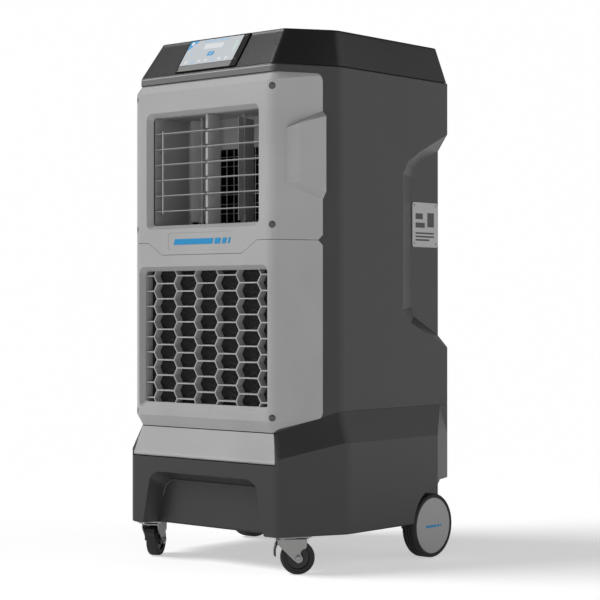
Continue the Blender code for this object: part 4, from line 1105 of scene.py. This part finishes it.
def rear_wheels():
    r, width = WHEEL_RADIUS, WHEEL_OUT - WHEEL_IN
    tread = [(0.066, width)] + arc((r - 0.006, width - 0.006), 0.006, 90, 0, 6)
    for k in range(3):
        along = width - 0.0105 - 0.0085 * k
        tread += [
            (r, along), (r - 0.0022, along - 0.0008), (r - 0.0022, along - 0.0030), (r, along - 0.0038)
        ]
    tread += arc((r - 0.006, 0.006), 0.006, 0, -90, 6)
    hub = [
        (0.062, 0.0), (0.060, 0.010), (0.022, 0.012), (0.0065, 0.012), (0.0065, 0.030), (0.022, 0.030),
        (0.022, 0.0355), (0.066, 0.0355),
    ]
    cap = [
        (0, 0.0358), (0, 0.0379), (0.020, 0.0379), (0.045, 0.0377), (0.0600, 0.0373), (0.0635, 0.0370),
        (0.0650, 0.0364), (0.0655, 0.0358),
    ]
    for side, name in SIDES:
        centre = (side * WHEEL_IN, WHEEL_Y, WHEEL_RADIUS)
        tyre = lathe("tyre_" + name, tread + hub, centre, (side, 0, 0), TYRE, 96, 24)
        show(tyre, "rear_wheel_" + name, "rear_wheel_" + name)
        disc = lathe("wheel_cap_" + name, cap, centre, (side, 0, 0), LIGHT, 96, 24)
        show(disc, "rear_wheel_" + name, "hub_cap_" + name)
        low, high = sorted((side * (WHEEL_IN + 0.0377), side * (WHEEL_IN + 0.0380)))
        for k, (start, end) in enumerate(((-0.031, 0.010), (0.013, 0.021), (0.024, 0.029))):
            outline = slanted(WHEEL_Y + start, WHEEL_Y + end, 0.071, 0.0765, 0.0015)
            bar = extrusion(f"wheel_mark_{name}_{k}", [outline], "X", low, high, MARK)
            show(bar, "rear_wheel_" + name, ())


def caster(side, name):
    """A swivel caster. Its plate follows the base's chamfer, and the rest is turned about the kingpin."""
    turn = Matrix.Rotation(math.radians(CASTER_YAW[name]), 4, "Z")
    across, rolling = turn @ Vector((1, 0, 0)), turn @ Vector((0, 1, 0))
    axle = Vector((side * CASTER_AXLE[0], CASTER_AXLE[1], CASTER_RADIUS))
    kingpin = axle - rolling * CASTER_TRAIL
    ground = Matrix.Translation((kingpin.x, kingpin.y, 0))
    chamfer = -side * math.atan2(BASE_B[0] - BASE_A[0], BASE_B[1] - BASE_A[1])
    caster_plate(name, ground @ Matrix.Rotation(chamfer, 4, "Z"))
    caster_fork(name, ground @ turn)
    caster_wheel(name, axle, across)
    caster_brake(name, ground @ turn)


def caster_plate(name, place):
    outline = fillet(rectangle(0.031, -0.038, 0.038, 0.005), 5)
    plate = extrusion("mount_plate_" + name, [outline], "Z", 0.0825, 0.0857, ZINC)
    join(plate, rod("race", (0, 0, 0.0790), (0, 0, 0.0830), 0.0150, 40))
    for x in (-0.023, 0.023):
        for y in (-0.029, 0.029):
            join(plate, rod("bolt", (x, y, 0.0795), (x, y, 0.083), 0.0050, 6))
    plate.matrix_world = place
    show(soften(plate, 0.0005, 2), "cabinet", "caster_plate_" + name)


def caster_fork(name, place):
    leg = fillet([
        (-0.032, 0.0785, 0.003), (-0.032, 0.068, 0.006), (CASTER_TRAIL - 0.011, 0.0335, 0.007),
        (CASTER_TRAIL, 0.0245, 0.008), (CASTER_TRAIL + 0.012, 0.0335, 0.008), (0.0145, 0.0530, 0.009),
        (0.0315, 0.0590, 0.005), (0.034, 0.0785, 0.003),
    ], 6)
    fork = box("swivel_fork_" + name, (-0.0205, -0.0325, 0.0762), (0.0205, 0.0335, 0.0787), ZINC)
    for low, high in ((-0.0205, -0.0185), (0.0185, 0.0205)):
        join(fork, extrusion("leg", [leg], "X", low, high))
    cut(
        fork,
        rod("bore", (-0.03, CASTER_TRAIL, CASTER_RADIUS), (0.03, CASTER_TRAIL, CASTER_RADIUS), 0.0044),
    )
    fork.matrix_world = place
    show(soften(fork, 0.0008, 2, limit=40.0), "caster_" + name, "caster_fork_" + name)


def caster_wheel(name, axle, across):
    """The axle bolt, the tyre and the hub."""
    bolt = [
        (0, -0.0245), (0.0030, -0.0245), (0.0036, -0.0238), (0.0036, -0.0225), (0.0066, -0.0225),
        (0.0066, -0.0208), (0.0040, -0.0208), (0.0040, 0.0208), (0.0066, 0.0208), (0.0066, 0.0225),
        (0.0050, 0.0240), (0.0030, 0.0247), (0, 0.0247),
    ]
    pin = lathe("axle_bolt_" + name, bolt, axle, across, ZINC, 32)
    show(pin, "caster_" + name, "caster_axle_" + name)
    bead, shoulder = CASTER_RADIUS - 0.005, 0.0090
    tread = arc((bead, -shoulder), 0.005, -90, 0, 6) + arc((bead, shoulder), 0.005, 0, 90, 6)
    profile = [(0.0285, -0.0125), *tread, (0.0285, 0.0125)]
    tyre = lathe("caster_tyre_" + name, profile, axle, across, TYRE, 64)
    show(tyre, "caster_wheel_" + name, "caster_wheel_" + name)
    half_hub = [
        (0.0044, 0.0140), (0.0105, 0.0140), (0.0115, 0.0130), (0.0125, 0.0085), (0.0245, 0.0085),
        (0.0262, 0.0128), (0.0284, 0.0128),
    ]
    hub = [(radius, -along) for radius, along in half_hub] + half_hub[::-1]
    core = lathe("caster_hub_" + name, hub, axle, across, BLACK, 64)
    show(core, "caster_wheel_" + name, ())


def caster_brake(name, place):
    pedal = fillet([
        (-0.0275, 0.0725, 0.001), (-0.0350, 0.0690, 0.005), (-0.0382, 0.0560, 0.010),
        (-0.0375, 0.0405, 0.001), (-0.0347, 0.0400, 0.001), (-0.0352, 0.0560, 0.010),
        (-0.0320, 0.0655, 0.004), (-0.0275, 0.0680, 0.001),
    ], 4)
    brake = extrusion("brake_pedal_" + name, [pedal], "X", -0.0115, 0.0115, BLACK)
    for k in range(4):
        z = 0.0430 + 0.0035 * k
        join(brake, rod("ridge", (-0.0100, -0.0378, z), (0.0100, -0.0378, z), 0.0008, 10))
    brake.matrix_world = place
    show(soften(brake, 0.0008, 2), "caster_brake_" + name, "caster_brake_" + name)


# ---------------------------------------------------------------- CAD nodes that stay


def dress(node, mat, width=0.0):
    """Gives a CAD node its finish and, where it shows, rounded edges."""
    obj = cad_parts[node]
    for slot in obj.material_slots:
        slot.material = mat
    if width:
        weld = obj.modifiers.new("weld", "WELD")
        weld.merge_threshold = 0.00001
        bevel = obj.modifiers.new("round", "BEVEL")
        bevel.width = width
        bevel.segments = 2
        bevel.limit_method = "ANGLE"
        bevel.angle_limit = math.radians(30)


def carried_over():
    dress("rear_panel", DARK, 0.0008)
    dress("outlet_duct", LIGHT, 0.0006)
    for mat, names in (
        (BLACK, ("pad_tray", "water_header", "water_pump", "float_valve", "float_arm")),
        (DEEP, ("blower_housing", "blower_wheel")),
        (MOTOR, ("blower_motor",)),
        (HOSE, ("pump_hose",)),
        (BOARD, ("control_board",)),
        (ZINC, ("rear_axle", "fill_door_pin")),
    ):
        for node in names:
            dress(node, mat)


# ---------------------------------------------------------------- stage


def sun(name, azimuth, elevation, strength, angle):
    """A distant soft light from an azimuth (0 in front, 90 on the +X side) and an elevation."""
    data = bpy.data.lights.new(name, "SUN")
    data.energy, data.angle = strength, math.radians(angle)
    obj = bpy.data.objects.new(name, data)
    a, e = math.radians(azimuth), math.radians(elevation)
    back = Vector((math.sin(a) * math.cos(e), -math.cos(a) * math.cos(e), math.sin(e)))
    obj.rotation_euler = (-back).to_track_quat("-Z", "Y").to_euler()
    bpy.context.scene.collection.objects.link(obj)


def studio_world():
    """Pale surroundings: one even tone for the camera, and light that fades towards a dark ceiling."""
    world = bpy.data.worlds.new("studio")
    world.use_nodes = True
    tree = world.node_tree
    nodes, links = tree.nodes, tree.links
    nodes.clear()
    output, mix = nodes.new("ShaderNodeOutputWorld"), nodes.new("ShaderNodeMixShader")
    lit, seen = nodes.new("ShaderNodeBackground"), nodes.new("ShaderNodeBackground")
    seen.inputs["Color"].default_value = (PALE, PALE, PALE, 1)
    split = nodes.new("ShaderNodeSeparateXYZ")
    links.new(nodes.new("ShaderNodeTexCoord").outputs["Generated"], split.inputs[0])
    glow = ramp(tree, split.outputs["Z"], 0.18, 0.62, HORIZON, CEILING, smooth=True)
    links.new(glow, lit.inputs["Strength"])
    links.new(nodes.new("ShaderNodeLightPath").outputs["Is Camera Ray"], mix.inputs["Fac"])
    links.new(lit.outputs[0], mix.inputs[1])
    links.new(seen.outputs[0], mix.inputs[2])
    links.new(mix.outputs[0], output.inputs["Surface"])
    bpy.context.scene.world = world


def studio_floor():
    """Pale matt floor that turns into the surroundings' tone away from the object, hiding the horizon."""
    made = bpy.data.materials.new("pale_floor")
    made.use_nodes = True
    tree = made.node_tree
    nodes, links = tree.nodes, tree.links
    matt = nodes["Principled BSDF"]
    matt.inputs["Base Color"].default_value = (0.86, 0.86, 0.86, 1)
    matt.inputs["Roughness"].default_value = 0.9
    matt.inputs["Emission Color"].default_value = (1, 1, 1, 1)
    camera_ray = nodes.new("ShaderNodeLightPath").outputs["Is Camera Ray"]
    glow = ramp(tree, camera_ray, 0.0, 1.0, FLOOR_GLOW, FLOOR_GLOW + FLOOR_SEEN)
    links.new(glow, matt.inputs["Emission Strength"])
    far, mix = nodes.new("ShaderNodeEmission"), nodes.new("ShaderNodeMixShader")
    far.inputs["Color"].default_value = (PALE, PALE, PALE, 1)
    length = nodes.new("ShaderNodeVectorMath")
    length.operation = "LENGTH"
    links.new(nodes.new("ShaderNodeTexCoord").outputs["Object"], length.inputs[0])
    links.new(ramp(tree, length.outputs["Value"], 0.6, 2.4, smooth=True), mix.inputs["Fac"])
    links.new(matt.outputs[0], mix.inputs[1])
    links.new(far.outputs[0], mix.inputs[2])
    links.new(mix.outputs[0], nodes["Material Output"].inputs["Surface"])
    bm = bmesh.new()
    bmesh.ops.create_grid(bm, x_segments=1, y_segments=1, size=60)
    put("floor", bm, made)


PALE, HORIZON, CEILING = 0.995, 0.64, 0.0
FLOOR_GLOW, FLOOR_SEEN = 0.20, 0.28  # the floor's own light, and what the camera sees on top of it


def stage():
    scene = bpy.context.scene
    scene.view_settings.view_transform = "Standard"
    studio_world()
    studio_floor()
    sun("key", -45, 42, 2.22, 30)
    sun("corner", 8, 4, 0.10, 12)
    sun("fill", 50, 8, 0.35, 60)
    sun("side", 118, 12, 0.5, 60)

    camera = bpy.data.objects.new("camera", bpy.data.cameras.new("camera"))
    camera.data.lens = 104.2
    camera.data.shift_y = 0.0085
    camera.location = (2.7481, -3.0859, 0.5935)
    camera.rotation_euler = (math.radians(90), 0, math.radians(41.1))
    scene.collection.objects.link(camera)
    scene.camera = camera


tank_base()
fill_door()
main_housing()
top_cap()
display()
front_covers()
honeycomb()
cooling_pad()
louvers()
vanes()
outlet_back()
rating_plate()
rear_fittings()
rear_wheels()
for side, name in SIDES:
    caster(side, name)
carried_over()
stage()
